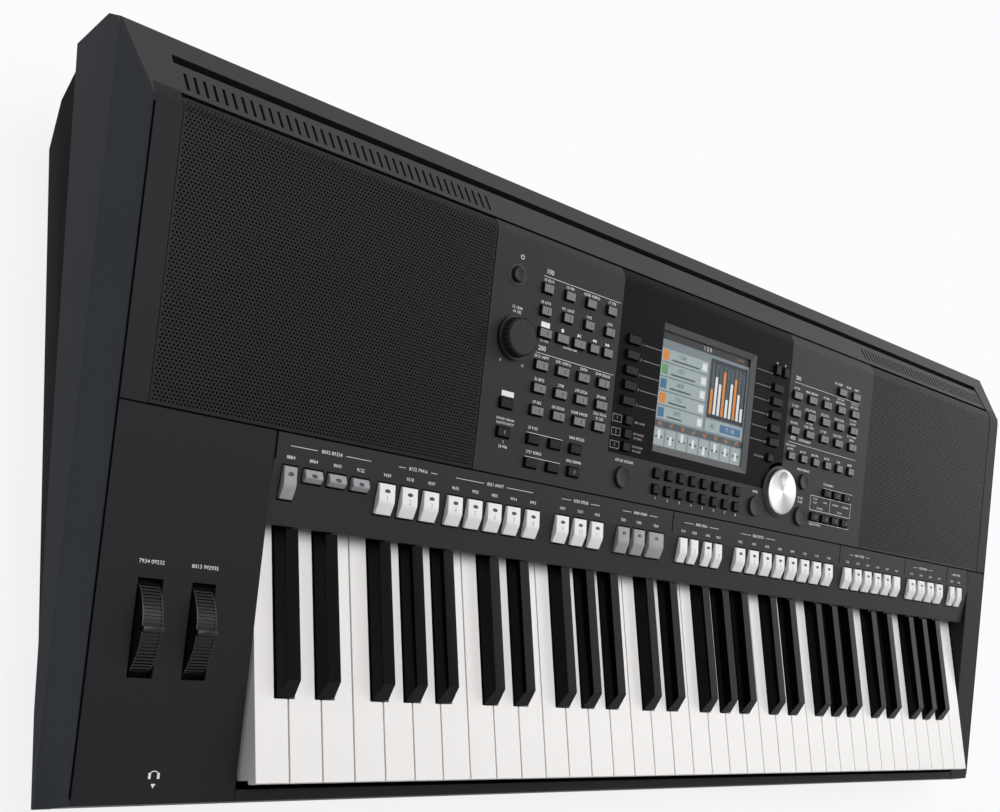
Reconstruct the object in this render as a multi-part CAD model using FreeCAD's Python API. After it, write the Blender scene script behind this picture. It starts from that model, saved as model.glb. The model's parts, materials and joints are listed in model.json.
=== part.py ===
import FreeCAD, Part
import math
import os

# Whole instrument, millimetres, +Z up, origin under the middle of the case.
width = 1002.0
depth = 437.0
height = 148.0
wall = 3.0
run_gap = 0.3
shaft_gap = 0.05
seat = 0.2

# Side profile: playing panel rises to the ridge, rear deck falls behind it.
ridge_back = 62.2
ridge_round = 9.0
ridge_facets = 4
front_drop = 88.8
rear_drop = 19.4
rear_lean = 9.0
rear_lean_h = 14.0
deck_start = 10.6
end_bevel_x = 10.5
end_bevel_front_z = 19.7
end_bevel_ridge_z = 31.5
end_side_h = 26.2
end_rear_h = 52.6
end_nose_h = 22.2
end_pocket_floor = 4.0
end_pocket_rim = 6.0
part_front_drop = 18.2
part_rear_drop = 42.6
foot_h = 4.0
floor_front_in = 52.5
floor_rear_in = 30.5
belly_inset = 6.5
belly_rise = 30.0
tray_front_inset = 3.0

# Keys: 61 notes, five octaves and a top C.
octaves = 5
octave_whites = 7
left_cheek_w = 98.7
right_cheek_w = 33.3
key_side_gap = 0.5
key_inset = 8.6
key_rise = 20.1
white_h = 20.0
lip_h = 8.5
lip_over = 3.0
key_skin = 3.0
key_side_wall = 2.5
black_front = 50.5
black_slope_run = 9.0
black_h = 11.0
black_base_w = 12.6
black_top_w = 8.6
black_drop = 17.0
black_tail_h = 2.0
notch_gap = 0.9
lean_cd = 2.6
lean_fa = 2.9
pivot_y = 5.0
pivot_drop = 11.6
pivot_tail = 8.0
tail_drop = 16.8
knife_half = 40.0
notch_half = 52.0
key_dip = 10.0

# Openings and mouldings of the top.
cheek_gap = 1.5
cross_y = -5.5
seam_gap = 0.4
frame_strip_w = 16.9
left_field_w = 129.0
right_field_w = 130.0
grille_t = 1.2
baffle_w = 6.0
baffle_t = 3.0
baffle_ledge = 8.0
woofer_margin = 21.6
woofer_flange = 6.0
woofer_deep = 42.0
magnet_r = 32.0
magnet_h = 14.0
cone_r = 20.0
display_half = 109.5
display_low_v = 28.2
display_ledge = 2.5
ledge_t = 2.0
ledge_land = 3.0
screen_side = 49.5
layout_v = 160.6
screen_low_v = 36.6
screen_high_v = 137.4
screen_deep = 3.6
screen_rim = 3.0
glass_t = 1.0
lcd_t = 6.0
slip_t = 7.0
fold_y = -24.0
lip_y = -58.5
band_drop = 4.2
lip_t = 2.4
strip_shelf = 7.0
vent_count = 38
vent_pitch = 6.15
vent_in = 22.3
vent_w = 2.0
vent_from = 3.9
vent_to = 16.6
vent_sink = 0.8
roll_gap = 3.1
groove_at = 25.0
groove_w = 5.6
groove_deep = 9.0

# Push buttons.
button_proud = 2.6
flange_lip = 1.0
flange_t = 1.2
post_w = 3.0
post_len = 2.0
button_travel = 1.2
switch_w = 6.0
switch_h = 3.5
board_t = 1.6
stand_w = 5.0
led_row_h = 6.0
song_out = 78.6
song_cols = 4
song_dx = 22.07
song_v = (130.9, 114.9)
song_w = 9.1
play_out = (77.3, 59.8, 42.7)
skip_out = (27.0, 12.4)
play_v = 99.3
style_out = 77.6
style_cols = 4
style_dx = 21.33
style_v = (76.2, 59.9, 43.9)
style_w = 11.5
tempo_out = 77.6
tempo_cols = 3
tempo_dx = 21.33
tempo_v = (23.6, 6.9)
side_out = 106.1
side_v = (43.7, 23.6)
soft_left_in = 15.2
soft_right_in = 17.9
soft_v = (115.6, 103.8, 92.1, 80.6, 68.8)
soft_w = 13.0
soft_h = 6.0
mode_in = 17.6
mode_v = (54.5, 44.2, 34.4)
mode_w = 7.2
tab_in = (20.6, 8.7)
tab_v = 130.8
tab_w = 6.4
tab_h = 7.6
exit_in = 20.4
exit_v = 55.0
voice_out = 11.4
voice_dx = 22.97
voice_cols = 5
voice_v = (115.2, 99.8, 84.4)
voice_w = 11.6
top_pair_out = (79.9, 102.7)
top_pair_v = 131.4
effect_out = 9.9
effect_dx = 18.9
effect_cols = 6
effect_v = 61.9
effect_w = 8.9
select_out = (70.2, 86.0, 102.5)
select_v = 36.9
onoff_out = (53.3, 70.2, 86.0, 102.5)
onoff_v = 13.6
part_w = 11.0
slider_in = 56.6
slider_end_in = 60.3
slider_cols = 8
slider_v = (20.0, 7.6)
slider_fill = 0.5
slider_h = 6.6
round_left_in = 17.9
round_right_in = 34.6
round_upper_out = 32.7
round_lower_out = 31.7
round_v = (11.2, 11.6, 42.2, 11.4)
round_r = 8.2
round_small_r = 6.7
power_out = 107.4
power_v = 133.5
power_r = 4.9

# Piano-style buttons on the strip over the keys.
strip_len = 20.0
strip_short = 8.0
strip_top_v = -1.0
layout_pitch = 23.5
strip_w = 12.5
strip_narrow_w = 9.0
strip_wide_w = 17.0
strip_mid_h = 4.2
strip_end_h = 1.8
strip_mid = 0.55
fill_tall_at = 10.2
fill_small_at = (26.4, 43.8, 61.2)
intro_at = (82.1, 100.4, 118.3)
main_at = (138.8, 156.4, 174.1, 191.8, 210.5)
ending_at = (240.1, 258.5, 276.6)
sync_at = (306.0, 323.5)
start_at = 343.5
pad_at = (377.0, 390.7, 408.0, 421.7)
memory_at = 451.6
memory_dx = 18.9
memory_cols = 8
touch_at = 615.7
touch_dx = 17.42
touch_cols = 6
touch_w = 11.5
upper_at = 731.8
upper_dx = 18.2
upper_cols = 4
octave_at = (812.9, 827.5)

# Wheels, knob and dial.
wheel_back = 96.75
pitch_in = 30.9
mod_in = 63.5
wheel_clear = 9.3
wheel_rise = 8.0
wheel_w = 12.5
wheel_slot_w = 15.0
wheel_slot_half = 27.5
nub_h = 2.2
nub_w = 3.6
axle_r = 3.0
bracket_t = 2.0
bracket_clear = 2.0
bracket_half = 14.0
knob_out = 105.0
knob_v = 89.8
knob_r = 12.1
knob_skirt_r = 15.5
knob_skirt_h = 2.6
knob_h = 9.4
dial_in = 1.9
dial_v = 28.4
dial_r = 19.8
dial_skirt_r = 22.2
dial_skirt_h = 1.6
dial_h = 5.0
dimple_r = 6.2
dimple_at = 11.3
dimple_deep = 2.0
shaft_r = 3.0
shaft_stop = 2.0
pot_w = 16.0

# Inside.
frame_t = 3.0
frame_drop = 36.3
frame_front_in = 18.5
frame_rear_y = 16.0
frame_post = 12.0
frame_post_at = (40.3, 270.3, 510.3, 790.3)
frame_post_in = 68.5
frame_post_y = -30.0
felt_w = 12.0
felt_in = 28.5
contact_y = -92.0
contact_w = 30.0
rubber_w = 12.0
main_x0 = -160.0
main_x1 = 150.0
main_deep = 104.0
main_rear_in = 48.5
supply_in = 90.5
supply_w = 150.0
coil_in = 32.0
coil_side = 24.0
coil_h = 12.0
floor_post = 9.0
floor_post_r = 4.0
floor_post_in = 8.0
screw_r = 1.9
screw_head_r = 3.6
screw_head_h = 2.4
screw_len = 16.0
screw_gap = 0.1
foot_r = 11.0
foot_in = 60.5
foot_front_in = 78.5
foot_rear_in = 58.5
jack_r = 3.25
jack_body = 14.0
jack_deep = 24.0
jack_nut_r = 6.0
jack_drop = 27.6
jack_in = (160.5, 200.5, 260.5, 300.5)
phones_in = 44.5
phones_drop = 10.0
inlet_in = 160.5
inlet_w = 22.0
inlet_h = 15.0
inlet_deep = 18.0
inlet_flange = 4.0
usb_x = (150.0, 185.0)
usb_w = 13.0
usb_h = 6.0
usb_deep = 14.0

# Stands that carry the boards: from the field's edge, and along the panel.
stand_edge = 11.5
stand_inner = 8.5
stand_bar = 13.7
stand_screen = 12.0
stand_rim = 5.3
stand_left_v = (112.0, 8.0)
stand_inner_v = (140.0, 8.0)
stand_right_v = (142.0, 1.0)
stand_voice = 16.5
stand_dial = 40.5
stand_bar_v = (13.0, 15.0)
stand_insert_v = (62.0, 110.0)
stand_tab_v = (60.0, 130.0)
stand_strip_at = (1.4, 229.3, 292.3, 436.3, 598.8, 716.8, 799.8, 842.3)

V = FreeCAD.Vector
UP = V(0, 0, 1)
half_w = width / 2
front_y = -depth / 2
rear_y = depth / 2
seam_x = half_w - end_bevel_x
ridge_y = rear_y - ridge_back
front_top_z = height - front_drop
rear_top_z = height - rear_drop
deck_rear_y = rear_y - rear_lean
shoulder_z = rear_top_z - rear_lean_h
end_low_front_z = front_top_z - end_side_h
end_low_rear_z = rear_top_z - end_rear_h
end_front_low_z = front_top_z - end_nose_h
part_front_z = front_top_z - part_front_drop
part_rear_z = rear_top_z - part_rear_drop
floor_front_y = front_y + floor_front_in
floor_rear_y = rear_y - floor_rear_in
slope = math.atan((height - front_top_z) / (ridge_y - front_y))
fall = math.atan((height - rear_top_z) / (deck_rear_y - ridge_y))
deck_y = ridge_y + deck_start
panel_z = height - ridge_y * math.tan(slope)
under = wall / math.cos(slope)
ridge_v = ridge_y / math.cos(slope)
cross_v = cross_y / math.cos(slope)
front_v = front_y / math.cos(slope)
row = ridge_v / layout_v
whites = octaves * octave_whites + 1
cheek_left_x = left_cheek_w - seam_x
cheek_right_x = seam_x - right_cheek_w
key_left_x = cheek_left_x + cheek_gap
key_right_x = cheek_right_x - cheek_gap
white_pitch = (key_right_x - key_left_x) / whites
key_scale = white_pitch / layout_pitch
key_front_y = front_y + key_inset
key_top_z = front_top_z + key_rise
pivot_z = key_top_z - pivot_drop
tail_low_z = key_top_z - tail_drop
strip_left_x = cheek_left_x + seam_gap
strip_right_x = cheek_right_x - seam_gap
grille_left_out_x = frame_strip_w - seam_x
grille_right_out_x = seam_x - frame_strip_w
grille_left_in_x = -display_half - left_field_w
grille_right_in_x = display_half + right_field_w
screen_half_x = display_half - screen_side
lip_z = height - (ridge_y - lip_y) * math.tan(slope) - band_drop
fold_z = height - (ridge_y - fold_y) * math.tan(slope)
band_angle = math.atan((fold_z - lip_z) / (fold_y - lip_y))
flange_w = wall + run_gap
board_w = flange_w + flange_t + post_len + button_travel + run_gap + switch_h
key_len = pivot_y - key_front_y
dip_angle = math.asin(key_dip / key_len)
floor_z = foot_h + wall
wheel_v = front_v + wheel_back
wheel_room = panel_z + wheel_v * math.sin(slope) + wheel_rise * math.cos(slope) - floor_z - bracket_t
wheel_r = (wheel_room - wheel_clear) / (1 + math.cos(slope))
axle_w = wheel_rise - wheel_r
pitch_x = pitch_in - seam_x
mod_x = mod_in - seam_x
phones_x = phones_in - seam_x
knob_x = -display_half - knob_out
power_x = -display_half - power_out
dial_x = display_half - dial_in
dial_mid_v = dial_v * row
knob_mid_v = knob_v * row
power_mid_v = power_v * row
frame_z = key_top_z - frame_drop
frame_front_y = front_y + frame_front_in
felt_y = front_y + felt_in
main_y1 = rear_y - main_rear_in
main_y0 = main_y1 - main_deep
supply_x1 = seam_x - supply_in
inlet_x = seam_x - inlet_in
supply_x0 = supply_x1 - supply_w
jack_z = rear_top_z - jack_drop
jack_x = [x - seam_x for x in jack_in]
slider_x = slider_in - display_half
slider_dx = (display_half - slider_end_in - slider_x) / (slider_cols - 1)
slider_w = slider_dx * slider_fill
row_h = led_row_h * row
soft_row_h = soft_h * row
screen_low = screen_low_v * row
screen_high = screen_high_v * row
insert_low_v = display_low_v * row
dial_disc_r = dial_r * row
dial_rim_r = dial_skirt_r * row
dimple_v = (dial_v + dimple_at) * row
round_top_r = round_r * row
round_small_top_r = round_small_r * row
power_top_r = power_r * row

left = -display_half
right = display_half
song_cells = [(left - song_out + i * song_dx, v * row, song_w) for v in song_v for i in range(song_cols)]
song_cells += [(left - x, play_v * row, style_w) for x in play_out]
song_cells += [(left - x, play_v * row, song_w) for x in skip_out]
style_x = [left - style_out + i * style_dx for i in range(style_cols)]
style_cells = [(x, v * row, style_w) for v in style_v for x in style_x]
tempo_x = [left - tempo_out + i * tempo_dx for i in range(tempo_cols)]
tempo_cells = [(x, v * row, style_w) for v in tempo_v for x in tempo_x]
tempo_cells += [(left - side_out, v * row, style_w) for v in side_v]
slider_cells = [(slider_x + i * slider_dx, v * row, slider_w) for v in slider_v for i in range(slider_cols)]
voice_x = [right + voice_out + i * voice_dx for i in range(voice_cols)]
voice_cells = [(x, v * row, voice_w) for v in voice_v for x in voice_x]
voice_cells += [(right + x, top_pair_v * row, voice_w) for x in top_pair_out]
effect_cells = [(right + effect_out + i * effect_dx, effect_v * row, effect_w) for i in range(effect_cols)]
part_cells = [(right + x, select_v * row, part_w) for x in select_out]
part_cells += [(right + x, onoff_v * row, part_w) for x in onoff_out]
soft_x = (left + soft_left_in, right - soft_right_in)
soft_cells = [(x, v * row, soft_w, soft_row_h) for x in soft_x for v in soft_v]
soft_cells += [(left + mode_in, v * row, mode_w, row_h) for v in mode_v]
soft_cells += [(right - x, tab_v * row, tab_w, tab_h) for x in tab_in]
soft_cells += [(right - exit_in, exit_v * row, mode_w, row_h)]
round_cells = [
    (left + round_left_in, round_v[0] * row, round_top_r),
    (right - round_right_in, round_v[1] * row, round_top_r),
    (right + round_upper_out, round_v[2] * row, round_small_top_r),
    (right + round_lower_out, round_v[3] * row, round_top_r),
]


def strip_row(places, w, length):
    return [(key_left_x + x * key_scale, w * key_scale, length) for x in places]


fill_cells = strip_row([fill_tall_at], strip_narrow_w, strip_len)
fill_cells += strip_row(fill_small_at, strip_w, strip_short)
sync_cells = strip_row(sync_at, strip_w, strip_len) + strip_row([start_at], strip_wide_w, strip_len)
intro_cells = strip_row(intro_at + main_at + ending_at, strip_w, strip_len)
pad_cells = strip_row(pad_at, strip_narrow_w, strip_len)
memory_cells = strip_row([memory_at + i * memory_dx for i in range(memory_cols)], strip_w, strip_len)
touch_cells = strip_row([touch_at + i * touch_dx for i in range(touch_cols)], touch_w, strip_len)
upper_cells = strip_row([upper_at + i * upper_dx for i in range(upper_cols)], strip_w, strip_len)
upper_cells += strip_row(octave_at, strip_narrow_w, strip_len)
panel_cells = song_cells + style_cells + tempo_cells + voice_cells + effect_cells + part_cells
panel_cells = [c + (row_h,) for c in panel_cells] + [c + (slider_h * row,) for c in slider_cells]
strip_cells = fill_cells + sync_cells + intro_cells + pad_cells + memory_cells + touch_cells + upper_cells


def top_z(y):
    return height - (ridge_y - y) * math.tan(slope)


def deck_z(y):
    return height - (y - ridge_y) * math.tan(fall)


def part_z(y):
    return part_front_z + (part_rear_z - part_front_z) * (y - front_y) / depth


def box(x0, x1, y0, y1, z0, z1):
    return Part.makeBox(x1 - x0, y1 - y0, z1 - z0, V(x0, y0, z0))


def prism(x0, x1, points):
    ring = [V(x0, y, z) for y, z in points]
    return Part.Face(Part.makePolygon(ring + ring[:1])).extrude(V(x1 - x0, 0, 0))


def tube(x, y, z, r, length, axis):
    return Part.makeCylinder(r, length, V(x, y, z), axis)


def fuse(shapes):
    return shapes[0].multiFuse(shapes[1:]).removeSplitter()


def cut(shape, tools):
    return shape.cut(Part.makeCompound(tools)).removeSplitter()


def tilt(shape):
    turned = shape.copy()
    turned.rotate(V(0, 0, 0), V(1, 0, 0), math.degrees(slope))
    turned.translate(V(0, 0, panel_z))
    return turned


def lean(shape):
    turned = shape.copy()
    turned.rotate(V(0, 0, 0), V(1, 0, 0), math.degrees(band_angle))
    turned.translate(V(0, fold_y, fold_z))
    return turned


def spot(v, w):
    y = v * math.cos(slope) - w * math.sin(slope)
    return y, panel_z + v * math.sin(slope) + w * math.cos(slope)


def export(name, shape):
    shape.exportStep("parts/" + name + ".step")


def bevel_drop(y):
    return end_bevel_front_z + (end_bevel_ridge_z - end_bevel_front_z) * (y - front_y) / (ridge_y - front_y)


def rolled(y0, thick, end):
    bend = slope + fall
    reach = ridge_round * math.tan(bend / 2)
    cy = ridge_y - reach * math.cos(slope) + ridge_round * math.sin(slope)
    cz = height - reach * math.sin(slope) - ridge_round * math.cos(slope)
    outer = [(y0, top_z(y0))]
    inner = [(y0, top_z(y0) - thick / math.cos(slope))]
    for i in range(ridge_facets + 1):
        turn = bend * i / ridge_facets - slope
        for ring, r in ((outer, ridge_round), (inner, ridge_round - thick)):
            ring.append((cy + r * math.sin(turn), cz + r * math.cos(turn)))
    outer.append((end, deck_z(end)))
    inner.append((end, deck_z(end) - thick / math.cos(fall)))
    return outer + inner[::-1]


def cap(x, v, w, h):
    low = -flange_w - flange_t
    top = box(x - w / 2, x + w / 2, v - h / 2, v + h / 2, low, button_proud)
    lip_x = w / 2 + flange_lip
    lip_v = h / 2 + flange_lip
    flange = box(x - lip_x, x + lip_x, v - lip_v, v + lip_v, low, -flange_w)
    half = post_w / 2
    post = box(x - half, x + half, v - half, v + half, low - post_len, low)
    return fuse([top, flange, post])


def round_cap(x, v, r):
    low = -flange_w - flange_t
    top = tube(x, v, low, r, button_proud - low, UP)
    flange = tube(x, v, low, r + flange_lip, flange_t, UP)
    post = tube(x, v, low - post_len, post_w / 2, post_len, UP)
    return fuse([top, flange, post])


def strip_cap(x, w, length):
    low = -flange_w - flange_t
    back = strip_top_v
    mid = back - length * strip_mid
    front = back - length
    side = [(back, low), (back, strip_end_h), (mid, strip_mid_h), (front, strip_end_h), (front, low)]
    top = prism(x - w / 2, x + w / 2, side)
    lip_x = w / 2 + flange_lip
    flange = box(x - lip_x, x + lip_x, front - flange_lip, back + flange_lip, low, -flange_w)
    half = post_w / 2
    post = box(x - half, x + half, mid - half, mid + half, low - post_len, low)
    return fuse([top, flange, post])


def hole(x, v, w, h):
    a = w / 2 + run_gap
    b = h / 2 + run_gap
    return box(x - a, x + a, v - b, v + b, -flange_w, wall)


def switch(x, v, top):
    half = switch_w / 2
    return box(x - half, x + half, v - half, v + half, top, top + switch_h)


def cells(rows):
    return Part.makeCompound([tilt(cap(x, v, w, h)) for x, v, w, h in rows])


def sized(rows):
    return [cell + (row_h,) for cell in rows]


def strip_group(rows):
    return Part.makeCompound([lean(strip_cap(x, w, n)) for x, w, n in rows])


def stand(x, v):
    half = stand_w / 2
    return box(x - half, x + half, v - half, v + half, -board_w, -wall)


def board(x0, x1, v0, v1):
    return box(x0, x1, v0, v1, -board_w - board_t, -board_w)


os.makedirs("parts", exist_ok=True)

# End blocks: hollow side covers with a broad bevel up to the top seam.
low_line = (end_low_rear_z - end_low_front_z) / depth
end_side = [
    (front_y, front_top_z),
    (ridge_y, height),
    (deck_rear_y, rear_top_z),
    (rear_y, shoulder_z),
    (rear_y, end_low_rear_z),
    (floor_front_y, end_low_front_z + low_line * (floor_front_y - front_y)),
    (front_y, end_front_low_z),
]
pocket_side = [
    (ridge_y, height - bevel_drop(ridge_y) - end_pocket_rim),
    (deck_rear_y - end_pocket_rim, rear_top_z - 2 * end_pocket_rim),
    (rear_y - end_pocket_rim, shoulder_z - end_pocket_rim),
    (rear_y - end_pocket_rim, end_low_rear_z + end_pocket_rim),
    (floor_front_y, top_z(floor_front_y) - bevel_drop(floor_front_y) - end_pocket_rim),
]
deck_under = wall / math.cos(fall)
wing_side = [
    (ridge_y, height),
    (rear_y, deck_z(rear_y)),
    (rear_y, deck_z(rear_y) - deck_under),
    (ridge_y, height - deck_under),
]
wings = []
for name, side in (("end_block_left", -1), ("end_block_right", 1)):
    block = prism(side * seam_x, side * half_w, end_side)
    rings = []
    for y in (front_y, rear_y):
        z = top_z(y)
        run = [V(side * seam_x, y, z), V(side * half_w, y, z), V(side * half_w, y, z - bevel_drop(y))]
        rings.append(Part.makePolygon(run + run[:1]))
    block = block.cut(Part.makeLoft(rings, True, True))
    wing_bar = prism(side * seam_x, side * half_w, wing_side)
    wings.append(block.common(wing_bar))
    block = block.cut(wing_bar)
    pocket = prism(side * seam_x, side * (half_w - end_pocket_floor), pocket_side)
    export(name, block.cut(pocket).removeSplitter())

# Lower case: black tray with chamfered belly, bosses and screw seats.
tray_front = front_y + tray_front_inset
tray_out = [
    (tray_front, part_z(tray_front)),
    (tray_front, end_front_low_z),
    (floor_front_y, foot_h),
    (floor_rear_y, foot_h),
    (rear_y, part_z(rear_y) - belly_rise),
    (rear_y, part_z(rear_y)),
]
tray_in = [
    (tray_front + wall, height),
    (tray_front + wall, end_front_low_z + wall / 2),
    (floor_front_y + wall / 2, floor_z),
    (floor_rear_y - wall / 2, floor_z),
    (rear_y - wall, part_z(rear_y) - belly_rise + wall / 2),
    (rear_y - wall, height),
]
tray = prism(-seam_x, seam_x, tray_out)
inner_x = seam_x - belly_inset - wall
tray = tray.cut(prism(-inner_x, inner_x, tray_in))
for side in (-1, 1):
    wedge = [
        V(side * seam_x, front_y, foot_h),
        V(side * (seam_x - belly_inset), front_y, foot_h),
        V(side * seam_x, front_y, foot_h + belly_rise),
    ]
    tray = tray.cut(Part.Face(Part.makePolygon(wedge + wedge[:1])).extrude(V(0, depth, 0)))
post_spots = []
for x0, x1 in ((main_x0, main_x1), (supply_x0, supply_x1)):
    for x in (x0 + floor_post_in, x1 - floor_post_in):
        for y in (main_y0 + floor_post_in, main_y1 - floor_post_in):
            post_spots.append((x, y))
posts = [tube(x, y, foot_h, floor_post_r, floor_z + floor_post - foot_h, UP) for x, y in post_spots]
tray = fuse([tray] + posts)
post_rows = (front_y + frame_post_in, frame_post_y)
screw_spots = [(key_left_x + x * key_scale, y) for x in frame_post_at for y in post_rows]
bores = []
for x, y in screw_spots:
    bores.append(tube(x, y, foot_h, screw_r + screw_gap, wall, UP))
    bores.append(tube(x, y, foot_h, screw_head_r + screw_gap, screw_head_h, UP))
export("lower_case", cut(tray, bores))

# Feet and case screws.
foot_rows = (front_y + foot_front_in, rear_y - foot_rear_in)
foot_spots = [(s * (seam_x - foot_in), y) for s in (-1, 1) for y in foot_rows]
feet = [tube(x, y, 0, foot_r, foot_h, UP) for x, y in foot_spots]
export("rubber_feet", Part.makeCompound(feet))
screws = []
for x, y in screw_spots:
    head = tube(x, y, foot_h, screw_head_r, screw_head_h, UP)
    screws.append(fuse([head, tube(x, y, foot_h, screw_r, screw_len, UP)]))
export("case_screws", Part.makeCompound(screws))

# Cheeks beside the keys, open underneath.
cheek_rear = cross_y - seam_gap
cheek_out = [
    (front_y, part_z(front_y)),
    (front_y, top_z(front_y)),
    (cheek_rear, top_z(cheek_rear)),
    (cheek_rear, part_z(cheek_rear)),
]
cheek_in = [
    (front_y + wall, 0),
    (front_y + wall, top_z(front_y + wall) - under),
    (depth, top_z(depth) - under),
    (depth, 0),
]
slot_front = wheel_v - wheel_slot_half
slot_rear = wheel_v + wheel_slot_half
slot_half = wheel_slot_w / 2
wheel_slots = []
for x in (pitch_x, mod_x):
    wheel_slots.append(box(x - slot_half, x + slot_half, slot_front, slot_rear, -height, wall))
phones_z = top_z(front_y) - phones_drop
phones_bore = tube(phones_x, front_y - wall, phones_z, jack_nut_r + seat, 3 * wall, V(0, 1, 0))
left_cheek = prism(-seam_x, cheek_left_x, cheek_out)
left_cheek = left_cheek.cut(prism(wall - seam_x, cheek_left_x - wall, cheek_in))
export("cheek_left", cut(left_cheek, [tilt(s) for s in wheel_slots] + [phones_bore]))
right_cheek = prism(cheek_right_x, seam_x, cheek_out)
right_cheek = right_cheek.cut(prism(cheek_right_x + wall, seam_x - wall, cheek_in))
export("cheek_right", right_cheek.removeSplitter())

# Key slip closes the front under the key lips.
slip_rear = front_y + slip_t
slip_side = [
    (front_y, part_z(front_y)),
    (front_y, top_z(front_y)),
    (slip_rear, top_z(slip_rear)),
    (slip_rear, part_z(slip_rear)),
]
export("key_slip", prism(strip_left_x, strip_right_x, slip_side))

# Upper case: frame strips, side walls and speaker baffles.
left_strip = prism(-seam_x, grille_left_out_x, rolled(cross_y, wall, deck_y))
right_strip = prism(grille_right_out_x, seam_x, rolled(cross_y, wall, deck_y))
shelf_y = ridge_y + ridge_round / 2
shelf = prism(-seam_x, seam_x, [
    (shelf_y, deck_z(shelf_y) - deck_under),
    (deck_y + wall, deck_z(deck_y + wall) - deck_under),
    (deck_y + wall, deck_z(deck_y + wall) - 2 * deck_under),
    (shelf_y, deck_z(shelf_y) - 2 * deck_under),
])
walls = []
for x0 in (-seam_x, seam_x - wall):
    walls.append(prism(x0, x0 + wall, [
        (cross_y, part_z(cross_y)),
        (cross_y, top_z(cross_y) - under / 2),
        (shelf_y, top_z(shelf_y) - 4 * under),
        (deck_y, deck_z(deck_y) - deck_under),
        (deck_rear_y - 2 * wall, deck_z(deck_rear_y - 2 * wall) - deck_under),
        (rear_y - wall, shoulder_z - 2 * wall),
        (rear_y - wall, part_z(rear_y - wall)),
    ]))
baffles = []
baffle_top_v = ridge_v - ridge_round
baffle_sides = ((-seam_x, grille_left_in_x + baffle_ledge), (grille_right_in_x - baffle_ledge, seam_x))
woofer_x = ((grille_left_out_x + grille_left_in_x) / 2, (grille_right_in_x + grille_right_out_x) / 2)
woofer_v = (cross_v + baffle_top_v) / 2
woofer_r = (baffle_top_v - cross_v) / 2 - woofer_margin
for ends, x in zip(baffle_sides, woofer_x):
    plate = box(ends[0], ends[1], cross_v, baffle_top_v, -baffle_w - baffle_t, -baffle_w)
    opening = tube(x, woofer_v, -baffle_w - 2 * baffle_t, woofer_r, 3 * baffle_t, UP)
    baffles.append(tilt(plate.cut(opening)))
rails = []
for x0, x1 in ((-seam_x, grille_left_out_x), (grille_right_out_x, seam_x)):
    rails.append(tilt(box(x0, x1, cross_v, baffle_top_v, -baffle_w - baffle_t / 2, -wall / 2)))
    rails.append(tilt(box(x0, x1, baffle_top_v - wall, ridge_v + wall, -baffle_w - baffle_t, -wall)))
link_low = spot(baffle_top_v, -baffle_w - baffle_t)
links = []
for x0, x1 in baffle_sides:
    links.append(prism(x0, x1, [
        (link_low[0] - wall, link_low[1]),
        (link_low[0], link_low[1] + wall),
        (shelf_y + wall, deck_z(shelf_y + wall) - deck_under - wall / 2),
        (shelf_y + wall, deck_z(shelf_y + wall) - 2 * deck_under),
    ]))
export("upper_case", fuse([left_strip, right_strip, shelf] + walls + baffles + rails + links))

# Vent panel behind the ridge, lying on the shelf and on the music-rest channel.
groove_y = deck_y + groove_at
groove_front = groove_y - groove_w / 2
groove_rear = groove_y + groove_w / 2
vent_panel = prism(grille_left_out_x + seat, grille_right_out_x - seat, [
    (deck_y, deck_z(deck_y) - vent_sink),
    (groove_front, deck_z(groove_front) - vent_sink),
    (groove_front, deck_z(groove_front) - deck_under),
    (deck_y, deck_z(deck_y) - deck_under),
])
vent_span = (vent_count - 1) * vent_pitch + vent_w
vent_starts = (vent_in - seam_x, seam_x - vent_in - vent_span)
vents = [start + i * vent_pitch for start in vent_starts for i in range(vent_count)]
ya = deck_y + vent_from
yb = deck_y + vent_to
slots = [box(x, x + vent_w, ya, yb, deck_z(yb) - 2 * deck_under, height) for x in vents]
export("vent_panel", cut(vent_panel, slots))

# Rear panel: channel for a music rest, rear slope and the wall with the sockets.
groove_floor = deck_z(groove_y) - groove_deep
channel_front = groove_front - wall
channel_rear = groove_rear + wall
rear_shell = prism(-seam_x, seam_x, [
    (deck_y, deck_z(deck_y) - deck_under),
    (deck_y, deck_z(deck_y)),
    (deck_rear_y, rear_top_z),
    (rear_y, shoulder_z),
    (rear_y, part_z(rear_y)),
    (rear_y - wall, part_z(rear_y)),
    (rear_y - wall, shoulder_z - wall / 2),
    (deck_rear_y - wall / 2, deck_z(deck_rear_y - wall / 2) - deck_under),
])
deck_opening = box(grille_left_out_x, grille_right_out_x, deck_y, groove_rear, groove_floor, height)
rear_shell = rear_shell.cut(deck_opening)
channel = prism(wall - seam_x, seam_x - wall, [
    (channel_front, groove_floor - wall),
    (channel_front, deck_z(channel_front) - deck_under),
    (channel_rear, deck_z(channel_rear) - deck_under),
    (channel_rear, groove_floor - wall),
])
groove = box(grille_left_out_x, grille_right_out_x, groove_front, groove_rear, groove_floor, height)


def wall_hole(x, w, h):
    a = w / 2 + seat
    b = h / 2 + seat
    return box(x - a, x + a, rear_y - 2 * wall, rear_y + wall, jack_z - b, jack_z + b)


rear_cuts = [tube(x, rear_y + wall, jack_z, jack_nut_r + seat, 3 * wall, V(0, -1, 0)) for x in jack_x]
rear_cuts.append(wall_hole(inlet_x, inlet_w, inlet_h))
rear_cuts += [wall_hole(x, usb_w, usb_h) for x in usb_x]
export("rear_panel", cut(fuse([rear_shell, channel] + wings), [groove] + rear_cuts))

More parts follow.
